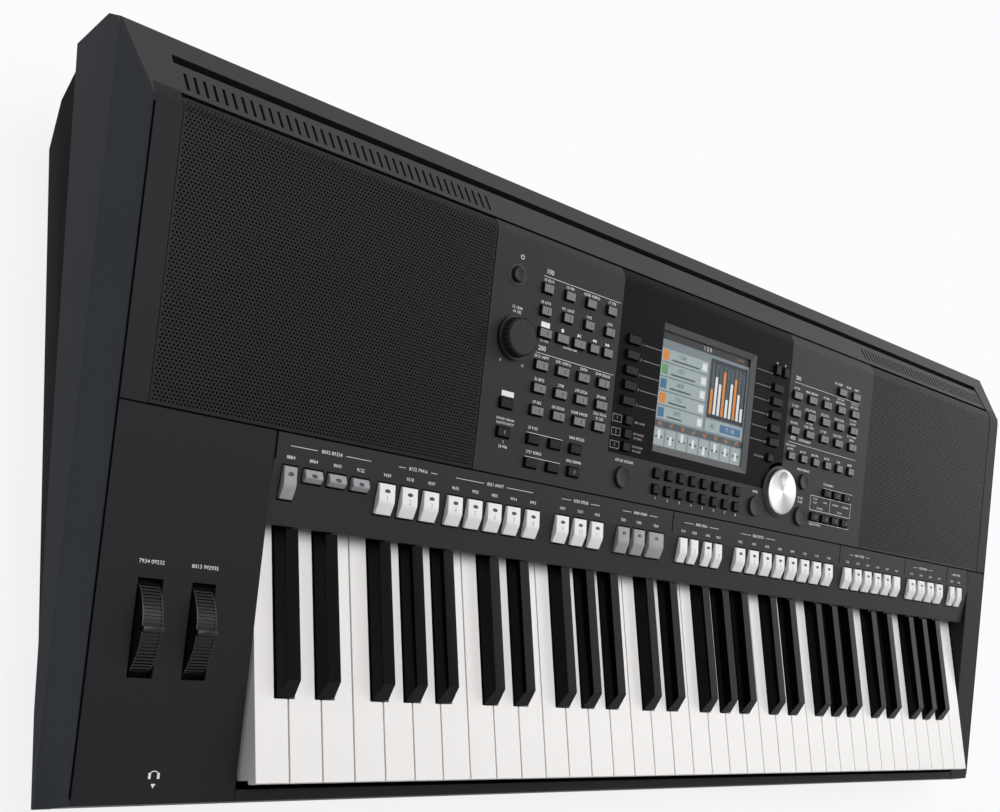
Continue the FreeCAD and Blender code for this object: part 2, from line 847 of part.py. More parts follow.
# Speaker grilles: bent sheet with a return flange standing on the baffle.
grilles = []
grille_ends = (
    (grille_left_out_x + seat, grille_left_in_x - seat),
    (grille_right_in_x + seat, grille_right_out_x - seat),
)
for x0, x1 in grille_ends:
    sheet = prism(x0, x1, rolled(cross_y, grille_t, deck_y - roll_gap))
    fold = [tilt(box(x0, x1, cross_v, cross_v + grille_t, -baffle_w, -grille_t / 2))]
    for xa in (x0, x1 - grille_t):
        fold.append(tilt(box(xa, xa + grille_t, cross_v, baffle_top_v, -baffle_w, -grille_t / 2)))
    grilles.append(fuse([sheet] + fold))
export("speaker_grilles", Part.makeCompound(grilles))

# Loudspeakers hang under the baffles.
speakers = []
top_w = -baffle_w - baffle_t
for x in woofer_x:
    rim = tube(x, woofer_v, top_w - wall, woofer_r + woofer_flange, wall, UP)
    basket = Part.makeCone(magnet_r, woofer_r, woofer_deep - wall, V(x, woofer_v, top_w - woofer_deep))
    magnet = tube(x, woofer_v, top_w - woofer_deep - magnet_h, magnet_r, magnet_h, UP)
    cone_low = V(x, woofer_v, top_w - woofer_deep + wall)
    hollow = Part.makeCone(cone_r, woofer_r - wall, woofer_deep - wall, cone_low)
    speakers.append(tilt(fuse([rim, basket, magnet]).cut(hollow)))
export("loudspeakers", Part.makeCompound(speakers))

# Control panel: left and right fields joined under the display insert.
panel = prism(grille_left_in_x, grille_right_in_x, rolled(cross_y, wall, deck_y - roll_gap))
gate = box(-display_half, display_half, insert_low_v, 2 * ridge_v, -height, height)
panel = panel.cut(tilt(gate))
edge_x = display_half - display_ledge
ledges = []
for side in (-1, 1):
    x0 = min(side * edge_x, side * (display_half + ledge_land))
    x1 = max(side * edge_x, side * (display_half + ledge_land))
    start = insert_low_v - wall if side < 0 else dial_mid_v + dial_rim_r + stand_w
    ledges.append(tilt(box(x0, x1, start, ridge_v - ridge_round, -wall - ledge_t, -wall)))
bar_end = slider_x + slider_cols * slider_dx
bar_ledge = box(-edge_x, bar_end, insert_low_v - wall, insert_low_v + ledge_t, -wall - ledge_t, -wall)
ledges.append(tilt(bar_ledge))
for x0 in (grille_left_in_x, grille_right_in_x - baffle_ledge + seam_gap):
    x1 = x0 + baffle_ledge - seam_gap
    ledges.append(tilt(box(x0, x1, cross_v, baffle_top_v, -baffle_w, -wall)))
shelf_front = cross_v - strip_shelf
front_ledge = box(grille_left_in_x, grille_right_in_x, shelf_front, cross_v + wall, -wall - ledge_t, -wall)
ledges.append(tilt(front_ledge))
stand_spots = [(grille_left_in_x + stand_edge, v) for v in stand_left_v]
stand_spots += [(left - stand_inner, v) for v in stand_inner_v]
stand_spots += [(grille_right_in_x - stand_edge, v) for v in stand_right_v]
stand_spots += [(right + x, v) for x, v in zip((stand_voice, stand_dial), stand_right_v)]
bar_stands = (slider_x - stand_bar - slider_w / 2, right - round_right_in - stand_bar)
stand_spots += [(x, v) for x, v in zip(bar_stands, stand_bar_v)]
field = fuse([panel] + ledges + [tilt(stand(x, v * row)) for x, v in stand_spots])
openings = [hole(x, v, w, h) for x, v, w, h in panel_cells]
openings += [tube(x, v, -flange_w, r + run_gap, 2 * wall, UP) for x, v, r in round_cells]
openings.append(tube(power_x, power_mid_v, -flange_w, power_top_r + run_gap, 2 * wall, UP))
openings.append(tube(knob_x, knob_mid_v, -flange_w, shaft_r + run_gap, 2 * wall, UP))
openings.append(tube(dial_x, dial_mid_v, -flange_w, shaft_r + run_gap, 2 * wall, UP))
well = tube(dial_x, dial_mid_v, -dial_skirt_h, dial_rim_r + run_gap, 2 * wall, UP)
export("control_panel", cut(field, [tilt(s) for s in openings] + [tilt(well)]))

# Display insert with its sunk screen.
insert_half = display_half - seat
insert = prism(-insert_half, insert_half, rolled(cross_y, wall, deck_y - roll_gap))
insert_field = box(-insert_half, insert_half, insert_low_v + seat, 2 * ridge_v, -height, height)
insert = insert.common(tilt(insert_field))
rim_half = screen_half_x + screen_rim
rim_low = screen_low - screen_rim
rim_high = screen_high + screen_rim
rim = box(-rim_half, rim_half, rim_low, rim_high, -screen_deep, -wall)
display_stands = [(left + stand_rim, stand_insert_v[0])]
display_stands += [(-screen_half_x - stand_screen, v) for v in stand_insert_v]
display_stands += [(screen_half_x + stand_screen, v) for v in stand_tab_v]
insert = fuse([insert, tilt(rim)] + [tilt(stand(x, v * row)) for x, v in display_stands])
screen = box(-screen_half_x, screen_half_x, screen_low, screen_high, -height, height)
dial_notch = tube(dial_x, dial_mid_v, -height, dial_rim_r + wall, 2 * height, UP)
display_cuts = [hole(x, v, w, h) for x, v, w, h in soft_cells] + [screen, dial_notch]
export("display_panel", cut(insert, [tilt(s) for s in display_cuts]))
glass = box(-rim_half, rim_half, rim_low, rim_high, -screen_deep - glass_t, -screen_deep)
export("display_window", tilt(glass))
lcd_top = -screen_deep - glass_t
module = box(-rim_half, rim_half, screen_low, screen_high, lcd_top - lcd_t, lcd_top)
export("display_module", tilt(module))

# Control strip: label band, steeper button band and the lip over the keys.
strip_back = cross_y - seam_gap
lip_under = lip_z - lip_t
strip_side = [
    (strip_back, top_z(strip_back)),
    (fold_y, fold_z),
    (lip_y, lip_z),
    (lip_y, lip_under),
    (lip_y + wall, lip_under),
    (fold_y, fold_z - under),
    (strip_back, top_z(strip_back) - under),
]
strip = prism(strip_left_x, strip_right_x, strip_side)
stands = [lean(stand(key_left_x + x * key_scale, strip_top_v - strip_len / 2)) for x in stand_strip_at]
strip_holes = [hole(x, strip_top_v - n / 2, w, n) for x, w, n in strip_cells]
export("control_strip", cut(fuse([strip] + stands), [lean(s) for s in strip_holes]))

# Circuit boards with a switch under every button.
low_top = -board_w
left_cells = song_cells + style_cells + tempo_cells
right_cells = voice_cells + effect_cells + part_cells
parts = [board(grille_left_in_x + 3 * wall, -display_half - 2 * wall, 2 * wall, ridge_v - 4 * wall)]
parts += [switch(x, v, low_top) for x, v, w in left_cells]
parts += [board(display_half + 4 * wall, grille_right_in_x - wall, -wall, ridge_v - 4 * wall)]
parts += [switch(x, v, low_top) for x, v, w in right_cells]
parts += [switch(x, v, low_top) for x, v, r in round_cells]
parts += [board(-display_half + wall, display_half - 5 * wall, wall, insert_low_v - wall)]
parts += [switch(x, v, low_top) for x, v, w in slider_cells]
parts += [switch(power_x, power_mid_v, low_top)]
for x0, x1 in ((-display_half + wall, -rim_half - wall), (rim_half + wall, display_half - wall)):
    parts.append(board(x0, x1, insert_low_v + wall, screen_high))
parts += [switch(x, v, low_top) for x, v, w, h in soft_cells]
strip_low_v = strip_top_v - strip_len
strip_parts = [board(strip_left_x + wall, strip_right_x - wall, strip_low_v, strip_top_v + wall)]
for x, w, n in strip_cells:
    strip_parts.append(switch(x, strip_top_v - n * strip_mid, low_top))
export("panel_boards", Part.makeCompound([tilt(s) for s in parts] + [lean(s) for s in strip_parts]))

# Button groups.
export("song_buttons", cells(sized(song_cells)))
export("style_buttons", cells(sized(style_cells)))
export("tempo_buttons", cells(sized(tempo_cells)))
export("display_buttons", cells(soft_cells))
export("mixer_buttons", cells([c + (slider_h * row,) for c in slider_cells]))
export("voice_buttons", cells(sized(voice_cells + effect_cells)))
export("part_buttons", cells(sized(part_cells)))
rounds = [tilt(round_cap(x, v, r)) for x, v, r in round_cells]
export("page_buttons", Part.makeCompound(rounds))
export("power_button", tilt(round_cap(power_x, power_mid_v, power_top_r)))
export("start_buttons", strip_group(fill_cells + sync_cells))
export("section_buttons", strip_group(intro_cells))
export("pad_buttons", strip_group(pad_cells))
export("memory_buttons", strip_group(memory_cells))
export("touch_buttons", strip_group(touch_cells + upper_cells))

# Volume knob and data dial with the shafts that carry them.
knob_seat = run_gap
skirt = tube(knob_x, knob_mid_v, knob_seat, knob_skirt_r, knob_skirt_h, UP)
grip_foot = V(knob_x, knob_mid_v, knob_seat + knob_skirt_h)
grip = Part.makeCone(knob_skirt_r - wall / 2, knob_r, knob_h - knob_skirt_h, grip_foot)
knob_bore = tube(knob_x, knob_mid_v, knob_seat, shaft_r + shaft_gap, knob_h - shaft_stop, UP)
export("volume_knob", tilt(fuse([skirt, grip]).cut(knob_bore)))
dial_seat = run_gap - dial_skirt_h
flat = tube(dial_x, dial_mid_v, dial_seat, dial_rim_r, dial_skirt_h, UP)
disc = tube(dial_x, dial_mid_v, dial_seat, dial_disc_r, dial_h + dial_skirt_h, UP)
dial_bore = tube(dial_x, dial_mid_v, dial_seat, shaft_r + shaft_gap, dial_h - shaft_stop, UP)
dimple_w = dial_seat + dial_h + dial_skirt_h - dimple_deep
dimple = tube(dial_x, dimple_v, dimple_w, dimple_r, wall, UP)
export("data_dial", tilt(fuse([flat, disc]).cut(dial_bore).cut(dimple)))
controls = []
knob_top = knob_h - shaft_stop
dial_top = dial_seat + dial_h - shaft_stop
for x, v, up in ((knob_x, knob_mid_v, knob_top), (dial_x, dial_mid_v, dial_top)):
    reach = up - run_gap + board_w
    half = pot_w / 2
    body = box(x - half, x + half, v - half, v + half, -board_w, -flange_w - wall)
    controls.append(tilt(fuse([body, tube(x, v, -board_w, shaft_r, reach, UP)])))
export("rotary_controls", Part.makeCompound(controls))

# Bender wheels on a common axle.
axle_y, axle_z = spot(wheel_v, axle_w)
for name, x in (("pitch_wheel", pitch_x), ("modulation_wheel", mod_x)):
    disc = tube(x - wheel_w / 2, axle_y, axle_z, wheel_r, wheel_w, V(1, 0, 0))
    nub = box(x - wheel_w / 2, x + wheel_w / 2, -nub_w / 2, nub_w / 2, wheel_r - nub_h, wheel_r + nub_h)
    nub.rotate(V(0, 0, 0), V(1, 0, 0), math.degrees(slope))
    nub.translate(V(0, axle_y, axle_z))
    bore = tube(x - wheel_w, axle_y, axle_z, axle_r + shaft_gap, 2 * wheel_w, V(1, 0, 0))
    export(name, fuse([disc, nub]).cut(bore))
mid_x = (pitch_x + mod_x) / 2
edge = wheel_w / 2 + bracket_clear
bracket_x = (pitch_x - edge - bracket_t, mid_x - bracket_t / 2, mod_x + edge)
plates = [
    box(x, x + bracket_t, axle_y - bracket_half, axle_y + bracket_half, floor_z, axle_z + 2 * axle_r)
    for x in bracket_x
]
bracket_end = bracket_x[-1] + bracket_t
bracket_front = axle_y - bracket_half
bracket_rear = axle_y + bracket_half
base = box(bracket_x[0], bracket_end, bracket_front, bracket_rear, floor_z, floor_z + bracket_t)
axle = tube(bracket_x[0], axle_y, axle_z, axle_r, bracket_end - bracket_x[0], V(1, 0, 0))
export("wheel_bracket", fuse(plates + [base, axle]))

# Key frame with its knife-edge fulcrum, felts and contact strip.
frame_x0 = cheek_left_x
frame_x1 = cheek_right_x
plate = box(frame_x0, frame_x1, frame_front_y, frame_rear_y, frame_z, frame_z + frame_t)
knife_low = frame_z + frame_t / 2
blade_half = wall
blade_z = pivot_z - blade_half / math.tan(math.radians(knife_half))
knife = prism(frame_x0, frame_x1, [
    (pivot_y - blade_half, knife_low),
    (pivot_y - blade_half, blade_z),
    (pivot_y, pivot_z),
    (pivot_y + blade_half, blade_z),
    (pivot_y + blade_half, knife_low),
])
legs = []
for x, y in screw_spots:
    half = frame_post / 2
    legs.append(box(x - half, x + half, y - half, y + half, floor_z, frame_z + frame_t / 2))
pilots = [tube(x, y, floor_z, screw_r + shaft_gap, screw_len, UP) for x, y in screw_spots]
export("key_frame", cut(fuse([plate, knife] + legs), pilots))


def pressed_z(y, z):
    return pivot_z + (y - pivot_y) * math.sin(dip_angle) + (z - pivot_z) * math.cos(dip_angle)


key_low_z = key_top_z - white_h
black_low_z = key_top_z - black_drop
deck_top = frame_z + frame_t
felt_top = pressed_z(felt_y - felt_w / 2, key_low_z) - run_gap
export("key_felt", box(frame_x0, frame_x1, felt_y - felt_w / 2, felt_y + felt_w / 2, deck_top, felt_top))
half = contact_w / 2
contact_top = deck_top + board_t
export("contact_board", box(frame_x0, frame_x1, contact_y - half, contact_y + half, deck_top, contact_top))
rubber_top = pressed_z(contact_y - rubber_w / 2, key_low_z) - run_gap
half = rubber_w / 2
rubber = box(frame_x0, frame_x1, contact_y - half, contact_y + half, contact_top, rubber_top)
export("contact_rubber", rubber)

# Keys, one body for each note name.
key_rear_y = pivot_y + pivot_tail
black_front_y = key_front_y + black_front
black_x = {
    "cs": white_pitch - lean_cd,
    "ds": 2 * white_pitch + lean_cd,
    "fs": 4 * white_pitch - lean_fa,
    "gs": 5 * white_pitch,
    "as": 6 * white_pitch + lean_fa,
}
notch_w = (tail_low_z - pivot_z - run_gap) * math.tan(math.radians(notch_half))
notch_side = [
    (pivot_y + notch_w, tail_low_z),
    (pivot_y, pivot_z + run_gap),
    (pivot_y - notch_w, tail_low_z),
]


def finish_key(shape, x0, x1, low):
    rear_low = box(x0, x1, pivot_y + notch_w - wall, key_rear_y, low, tail_low_z)
    return cut(shape, [prism(x0, x1, notch_side), rear_low])


def white_key(index, plain):
    x0 = index * white_pitch + key_side_gap
    x1 = (index + 1) * white_pitch - key_side_gap
    body = prism(x0, x1, [
        (key_front_y, key_top_z),
        (key_front_y, key_top_z - lip_h),
        (key_front_y + lip_over, key_top_z - lip_h),
        (key_front_y + lip_over, key_low_z),
        (key_rear_y, key_low_z),
        (key_rear_y, key_top_z),
    ])
    reach = black_base_w / 2 + notch_gap
    gaps = []
    for x in black_x.values():
        if x + reach > x0 and x - reach < x1 and not plain:
            gaps.append(box(x - reach, x + reach, black_front_y - notch_gap, key_rear_y, 0, height))
    if gaps:
        body = cut(body, gaps)
    hollow_x0 = x0 + key_side_wall
    hollow_x1 = x1 - key_side_wall
    hollow = box(
        hollow_x0, hollow_x1, key_front_y + lip_over + key_skin, black_front_y - notch_gap - key_skin,
        key_low_z, key_top_z - key_skin)
    return finish_key(body.cut(hollow), x0, x1, key_low_z)


def black_key(x):
    a = black_base_w / 2
    b = black_top_w / 2
    ring = [
        V(x - a, black_front_y, black_low_z),
        V(x + a, black_front_y, black_low_z),
        V(x + a, black_front_y, key_top_z),
        V(x + b, black_front_y, key_top_z + black_h),
        V(x - b, black_front_y, key_top_z + black_h),
        V(x - a, black_front_y, key_top_z),
    ]
    body = Part.Face(Part.makePolygon(ring + ring[:1])).extrude(V(0, key_rear_y - black_front_y, 0))
    nose = prism(x - white_pitch, x + white_pitch, [
        (black_front_y - wall, key_top_z),
        (black_front_y, key_top_z + black_tail_h / 2),
        (black_front_y + black_slope_run, key_top_z + black_h),
        (black_front_y + black_slope_run, height),
        (black_front_y - wall, height),
    ])
    tail = box(x - a, x + a, lip_y - run_gap, key_rear_y, key_top_z + black_tail_h, height)
    return finish_key(body.cut(nose).cut(tail), x - a, x + a, black_low_z)


for index, name in enumerate("cdefgab"):
    keys = []
    for octave in range(octaves + 1):
        if octave < octaves or index == 0:
            key = white_key(index, octave == octaves)
            key.translate(V(key_left_x + octave * octave_whites * white_pitch, 0, 0))
            keys.append(key)
    export("keys_" + name, Part.makeCompound(keys))
for name, x in black_x.items():
    keys = []
    for octave in range(octaves):
        key = black_key(x)
        key.translate(V(key_left_x + octave * octave_whites * white_pitch, 0, 0))
        keys.append(key)
    export("keys_" + name, Part.makeCompound(keys))

# Boards on the floor.
board_z = floor_z + floor_post
main = box(main_x0, main_x1, main_y0, main_y1, board_z, board_z + board_t)
export("main_board", main)
supply = box(supply_x0, supply_x1, main_y0, main_y1, board_z, board_z + board_t)
coil_z = board_z + board_t
coil_x0 = supply_x0 + coil_in
coil_x1 = supply_x1 - coil_in
coil = box(coil_x0, coil_x1, main_y0 + coil_side, main_y1 - coil_side, coil_z, coil_z + coil_h)
export("power_supply", fuse([supply, coil]))

# Sockets.
def socket_box(x, w, h, y0, y1, grow):
    a = w / 2 + grow
    b = h / 2 + grow
    return box(x - a, x + a, y0, y1, jack_z - b, jack_z + b)


jacks = []
for x in jack_x:
    barrel = tube(x, rear_y, jack_z, jack_nut_r, wall, V(0, -1, 0))
    body = socket_box(x, jack_body, jack_body, rear_y - wall - jack_deep, rear_y - wall, 0)
    jacks.append(fuse([barrel, body]).cut(tube(x, rear_y, jack_z, jack_r, jack_deep, V(0, -1, 0))))
barrel = tube(phones_x, front_y, phones_z, jack_nut_r, wall, V(0, 1, 0))
half = jack_body / 2
phones_rear = front_y + wall + jack_deep
body = box(phones_x - half, phones_x + half, front_y + wall, phones_rear, phones_z - half, phones_z + half)
bore = tube(phones_x, front_y, phones_z, jack_r, jack_deep, V(0, 1, 0))
export("phones_jack", fuse([barrel, body]).cut(bore))
inlet = socket_box(inlet_x, inlet_w, inlet_h, rear_y - inlet_deep, rear_y, 0)
collar = socket_box(inlet_x, inlet_w, inlet_h, rear_y - 2 * wall, rear_y - wall, inlet_flange)
mouth = socket_box(inlet_x, inlet_w, inlet_h, rear_y - inlet_deep + wall, rear_y, -wall)
export("power_inlet", fuse([inlet, collar]).cut(mouth))
for x in usb_x:
    shell = socket_box(x, usb_w, usb_h, rear_y - usb_deep, rear_y, 0)
    collar = socket_box(x, usb_w, usb_h, rear_y - 2 * wall, rear_y - wall, wall)
    mouth = socket_box(x, usb_w, usb_h, rear_y - usb_deep + wall, rear_y, -seat)
    jacks.append(fuse([shell, collar]).cut(mouth))
export("rear_sockets", Part.makeCompound(jacks))
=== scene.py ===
import bpy
import itertools
import json
import math
from mathutils import Matrix, Vector


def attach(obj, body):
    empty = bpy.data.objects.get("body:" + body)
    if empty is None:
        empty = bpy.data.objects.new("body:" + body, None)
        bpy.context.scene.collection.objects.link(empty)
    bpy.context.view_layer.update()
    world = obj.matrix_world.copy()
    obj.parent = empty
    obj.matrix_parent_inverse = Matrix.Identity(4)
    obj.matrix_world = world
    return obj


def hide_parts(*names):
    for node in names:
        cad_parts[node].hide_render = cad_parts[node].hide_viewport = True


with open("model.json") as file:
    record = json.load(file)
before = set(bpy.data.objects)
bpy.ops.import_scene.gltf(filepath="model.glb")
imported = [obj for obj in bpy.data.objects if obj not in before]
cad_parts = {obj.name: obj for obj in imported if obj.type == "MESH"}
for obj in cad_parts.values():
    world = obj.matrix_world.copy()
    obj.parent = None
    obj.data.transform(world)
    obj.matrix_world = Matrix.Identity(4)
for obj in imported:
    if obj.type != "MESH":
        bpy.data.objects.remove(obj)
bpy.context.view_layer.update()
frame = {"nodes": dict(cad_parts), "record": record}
nodes = frame["nodes"]
mm = 0.001

# the case's side profile in millimetres, as built
profile = {"ridgeY": 156.3, "height": 148, "frontY": -218.5, "frontZ": 59.2, "rearY": 209.5, "rearZ": 128.6,
           "crossY": -5.5, "foldY": -24, "lipY": -58.5, "lipDrop": 4.2, "rollEndY": 163.8, "ventY": 166.9,
           "ridgeRound": 9}
slope = math.atan((profile["height"] - profile["frontZ"]) / (profile["ridgeY"] - profile["frontY"]))
fall = math.atan((profile["height"] - profile["rearZ"]) / (profile["rearY"] - profile["ridgeY"]))
panelZ = profile["height"] - profile["ridgeY"] * math.tan(slope)
foldZ = panelZ + profile["foldY"] * math.tan(slope)
lipZ = panelZ + profile["lipY"] * math.tan(slope) - profile["lipDrop"]
bandAngle = math.atan((foldZ - lipZ) / (profile["foldY"] - profile["lipY"]))
ridgeV = profile["ridgeY"] / math.cos(slope)
crossV = profile["crossY"] / math.cos(slope)
foldV = profile["foldY"] / math.cos(slope)
frontV = profile["frontY"] / math.cos(slope)
shrink = Matrix.Scale(mm, 4)


# from millimetres on a sloping face to metres in the frame
def leaning(y, z, turn):
    return Matrix.Translation((0, y * mm, z * mm)) @ Matrix.Rotation(turn, 4, "X") @ shrink


onPanel = leaning(0, panelZ, slope)
onBand = leaning(profile["foldY"], foldZ, bandAngle)
onDeck = leaning(profile["ridgeY"], profile["height"], -fall)


# a socket that takes part in sums
class Signal:
    def __init__(self, owner, socket):
        self.owner = owner
        self.socket = socket

    def math(self, operation, first, second):
        return self.owner.node("ShaderNodeMath", {"operation": operation}, {0: first, 1: second})

    def __add__(self, other):
        return self.math("ADD", self, other)

    def __sub__(self, other):
        return self.math("SUBTRACT", self, other)

    def __mul__(self, other):
        return self.math("MULTIPLY", self, other)

    def __truediv__(self, other):
        return self.math("DIVIDE", self, other)

    def __mod__(self, other):
        return self.math("FLOORED_MODULO", self, other)

    def __gt__(self, other):
        return self.math("GREATER_THAN", self, other)

    def __radd__(self, other):
        return self.math("ADD", other, self)

    def __rsub__(self, other):
        return self.math("SUBTRACT", other, self)

    def __rmul__(self, other):
        return self.math("MULTIPLY", other, self)

    def __rtruediv__(self, other):
        return self.math("DIVIDE", other, self)


class Nodes:
    def __init__(self, tree):
        self.tree = tree

    def node(self, kind, settings=None, inputs=None, output=0):
        made = self.tree.nodes.new(kind)
        for key, value in (settings or {}).items():
            setattr(made, key, value)
        for key, value in (inputs or {}).items():
            self.feed(made.inputs[key], value)
        return Signal(self, made.outputs[output])

    def feed(self, socket, value):
        if isinstance(value, Signal):
            self.tree.links.new(value.socket, socket)
        else:
            socket.default_value = value

    def rays(self):
        kinds = ("Is Camera Ray", "Is Glossy Ray", "Is Transmission Ray")
        return [self.node("ShaderNodeLightPath", output=kind) for kind in kinds]


class Finish(Nodes):
    def __init__(self, name, fixed):
        self.material = bpy.data.materials.new(name)
        self.material.use_nodes = True
        super().__init__(self.material.node_tree)
        self.shader = self.tree.nodes["Principled BSDF"]
        for socket, value in fixed.items():
            self.shader.inputs[socket].default_value = value

    def paint(self, name, value):
        self.feed(self.shader.inputs[name], value)

    def place(self):
        return self.node("ShaderNodeTexCoord", output="Object")

    def noise(self, scale, detail=2, where=None):
        return self.node("ShaderNodeTexNoise", None, {
            "Vector": where or self.place(), "Scale": scale, "Detail": detail})

    def blend(self, factor, first, second):
        return self.node("ShaderNodeMix", {"data_type": "RGBA"}, {0: factor, 6: first, 7: second}, 2)

    def bump(self, height, strength, distance):
        return self.node("ShaderNodeBump", None, {
            "Height": height, "Strength": strength, "Distance": distance})

    def upward(self, up):
        facing = self.node("ShaderNodeTexCoord", output="Normal")
        return self.node("ShaderNodeVectorMath", {"operation": "DOT_PRODUCT"}, {0: facing, 1: up}, "Value")


def shade(tone, factor):
    return tuple(min(1, c * factor) for c in tone[:3]) + (1,)


# moulded plastic: fine pitted skin, slow drift of tone; caps given a sides tone get painted shade on their
# side walls
skin = {"pitDeep": 0.0002, "spread": 0.08, "drift": 14, "topFacing": 0.9}


def mouldedPlastic(name, changes):
    look = {**skin, **changes}
    made = Finish(name, {"Specular IOR Level": look["shine"], "IOR": 1.47})
    pits = made.noise(look["grain"])
    drift = made.noise(look["drift"])
    dark = shade(look["tone"], 1 - look["spread"])
    light = shade(look["tone"], 1 + look["spread"])
    colour = made.blend(drift * 0.6 + pits * 0.4, dark, light)
    # painted shade: faces leaning away from the panel's up direction take the dark sides tone
    if "sides" in look:
        top = made.upward((0, -math.sin(slope), math.cos(slope))) > look["topFacing"]
        colour = made.blend(top, look["sides"] + (1,), colour)
    made.paint("Base Color", colour)
    made.paint("Roughness", look["rough"] + (pits - 0.5) * look["roughVary"])
    if look["pit"]:
        made.paint("Normal", made.bump(pits, look["pit"], look["pitDeep"]))
    return made.material


# tone, roughness and how far it varies, shine, grain of the skin, strength of its pits
columns = ("tone", "rough", "roughVary", "shine", "grain", "pit")
plastics = {
    "caseCharcoal": ((0.0125, 0.0122, 0.0145), 0.5, 0.15, 0.11, 1700, 0.2),
    # painted light: the deck's charcoal is lighter than the panel's, standing for the light on its upward
    # slope
    "deckCharcoal": ((0.032, 0.0315, 0.035), 0.5, 0.15, 0.15, 1700, 0.2),
    "panelCharcoal": ((0.02, 0.0197, 0.022), 0.48, 0.15, 0.14, 1700, 0.2),
    # the end blocks' bluish grey is their own, and is made lighter as painted light for their lit bevels
    "endCharcoal": ((0.05, 0.055, 0.064), 0.5, 0.15, 0.02, 1700, 0.15),
    "caseBlack": ((0.0025, 0.0025, 0.003), 0.7, 0.15, 0.05, 1700, 0.2),
    "insertBlack": ((0.0028, 0.0027, 0.004), 0.42, 0.12, 0.04, 2200, 0.12),
    "keyWhite": ((0.88, 0.86, 0.845), 0.3, 0.04, 0.4, 60, 0),
    "keyBlack": ((0.0015, 0.0015, 0.0017), 0.12, 0.04, 0.09, 200, 0),
    "buttonGrey": ((0.155, 0.155, 0.162), 0.5, 0.1, 0.3, 2000, 0.08),
    "buttonPale": ((0.3, 0.3, 0.315), 0.45, 0.1, 0.35, 2000, 0.06),
    "buttonWhite": ((0.8, 0.8, 0.8), 0.4, 0.06, 0.35, 400, 0),
    "buttonDark": ((0.012, 0.012, 0.0135), 0.45, 0.12, 0.1, 2000, 0.1),
    "roundDark": ((0.017, 0.017, 0.019), 0.4, 0.12, 0.16, 2000, 0.1),
    "rubberBlack": ((0.0035, 0.0035, 0.004), 0.28, 0.15, 0.3, 1200, 0.25),
    "socketBlack": ((0.006, 0.006, 0.006), 0.45, 0.1, 0.3, 1500, 0.1),
    "coneBlack": ((0.02, 0.02, 0.02), 0.8, 0.15, 0.2, 600, 0.5),
    "grilleSteel": ((0.009, 0.009, 0.0095), 0.4, 0.15, 0.12, 1500, 0.1),
    # black of the cloth behind the grilles, also used as painted shade for the well rims, joints and ridge
    # gap
    "backCloth": ((0.002, 0.002, 0.002), 0.95, 0.05, 0.02, 1200, 0.4),
    "feltRed": ((0.3, 0.03, 0.03), 0.95, 0.05, 0.1, 900, 0.8),
    "boardGreen": ((0.03, 0.15, 0.06), 0.35, 0.1, 0.5, 400, 0.1),
    "bezelGrey": ((0.085, 0.083, 0.085), 0.5, 0.1, 0.25, 2000, 0.08),
    "printWhite": ((0.8, 0.8, 0.8), 0.6, 0.1, 0.2, 2500, 0),
    "printGrey": ((0.4, 0.4, 0.41), 0.6, 0.1, 0.2, 2500, 0),
    "lampDark": ((0.035, 0.035, 0.038), 0.25, 0.1, 0.5, 1500, 0),
    "lampClear": ((0.12, 0.12, 0.125), 0.25, 0.1, 0.5, 1500, 0),
}
# painted shade for the side walls of the grey and dark buttons, where shade falls
paintedShadeSides = {"sides": (0.006, 0.006, 0.007)}
special = {"keyWhite": {"spread": 0.012}, "buttonWhite": {"spread": 0.02}, "buttonGrey": paintedShadeSides,
           "buttonDark": paintedShadeSides}
finishes = {}
for name, row in plastics.items():
    finishes[name] = mouldedPlastic(name, {**dict(zip(columns, row)), **special.get(name, {})})


# turned metal: fine rings, and fans and streaks of painted highlight about the dial's own axis
def turnedMetal(name, look):
    made = Finish(name, {"Metallic": 1})
    local = made.node("ShaderNodeMapping", {"vector_type": "TEXTURE"}, {
        "Vector": made.place(), "Location": look["centre"], "Rotation": (slope, 0, 0)})
    rings = made.node("ShaderNodeTexWave", {"wave_type": "RINGS", "rings_direction": "Z"}, {
        "Vector": local, "Scale": look["rings"], "Distortion": 0.4, "Detail": 2, "Detail Scale": 3})
    drift = made.noise(60)
    across = made.node("ShaderNodeSeparateXYZ", None, {"Vector": local}, "X")
    along = made.node("ShaderNodeSeparateXYZ", None, {"Vector": local}, "Y")
    angle = across.math("ARCTAN2", along, across)
    # painted highlight: fans of light twice round the axis and streaks along the angle, painted into the base
    # colour
    paintedFans = made.node("ShaderNodeMath", {"operation": "SINE"}, {0: angle * 2 + look["fanTurn"]})
    paintedStreaks = made.noise(9, 3, made.node("ShaderNodeCombineXYZ", None, {"X": angle}))
    grainAndPaintedSheen = paintedFans * 0.38 + paintedStreaks * 0.3 + rings * 0.1 + drift * 0.1 + 0.26
    made.paint("Base Color", made.blend(grainAndPaintedSheen, shade(look["tone"], 0.45), shade(look["tone"], 1.5)))
    made.paint("Roughness", look["rough"] + (drift - 0.5) * 0.1)
    made.paint("Normal", made.bump(rings, look["groove"], 0.0001))
    return made.material


def zincSteel(name, look):
    made = Finish(name, {"Metallic": 1})
    grain = made.noise(look["grain"], 3)
    made.paint("Base Color", made.blend(grain, shade(look["tone"], 0.85), shade(look["tone"], 1.1)))
    made.paint("Roughness", look["rough"] + (grain - 0.5) * 0.2)
    return made.material


# clear window: thin, a little reflecting
def clearWindow(name, look):
    made = Finish(name, {"IOR": 1.5, "Base Color": look["tone"], "Specular IOR Level": 0.3})
    smear = made.noise(30)
    made.paint("Roughness", look["rough"] + smear * 0.05)
    made.paint("Alpha", look["body"] + smear * 0.02)
    return made.material


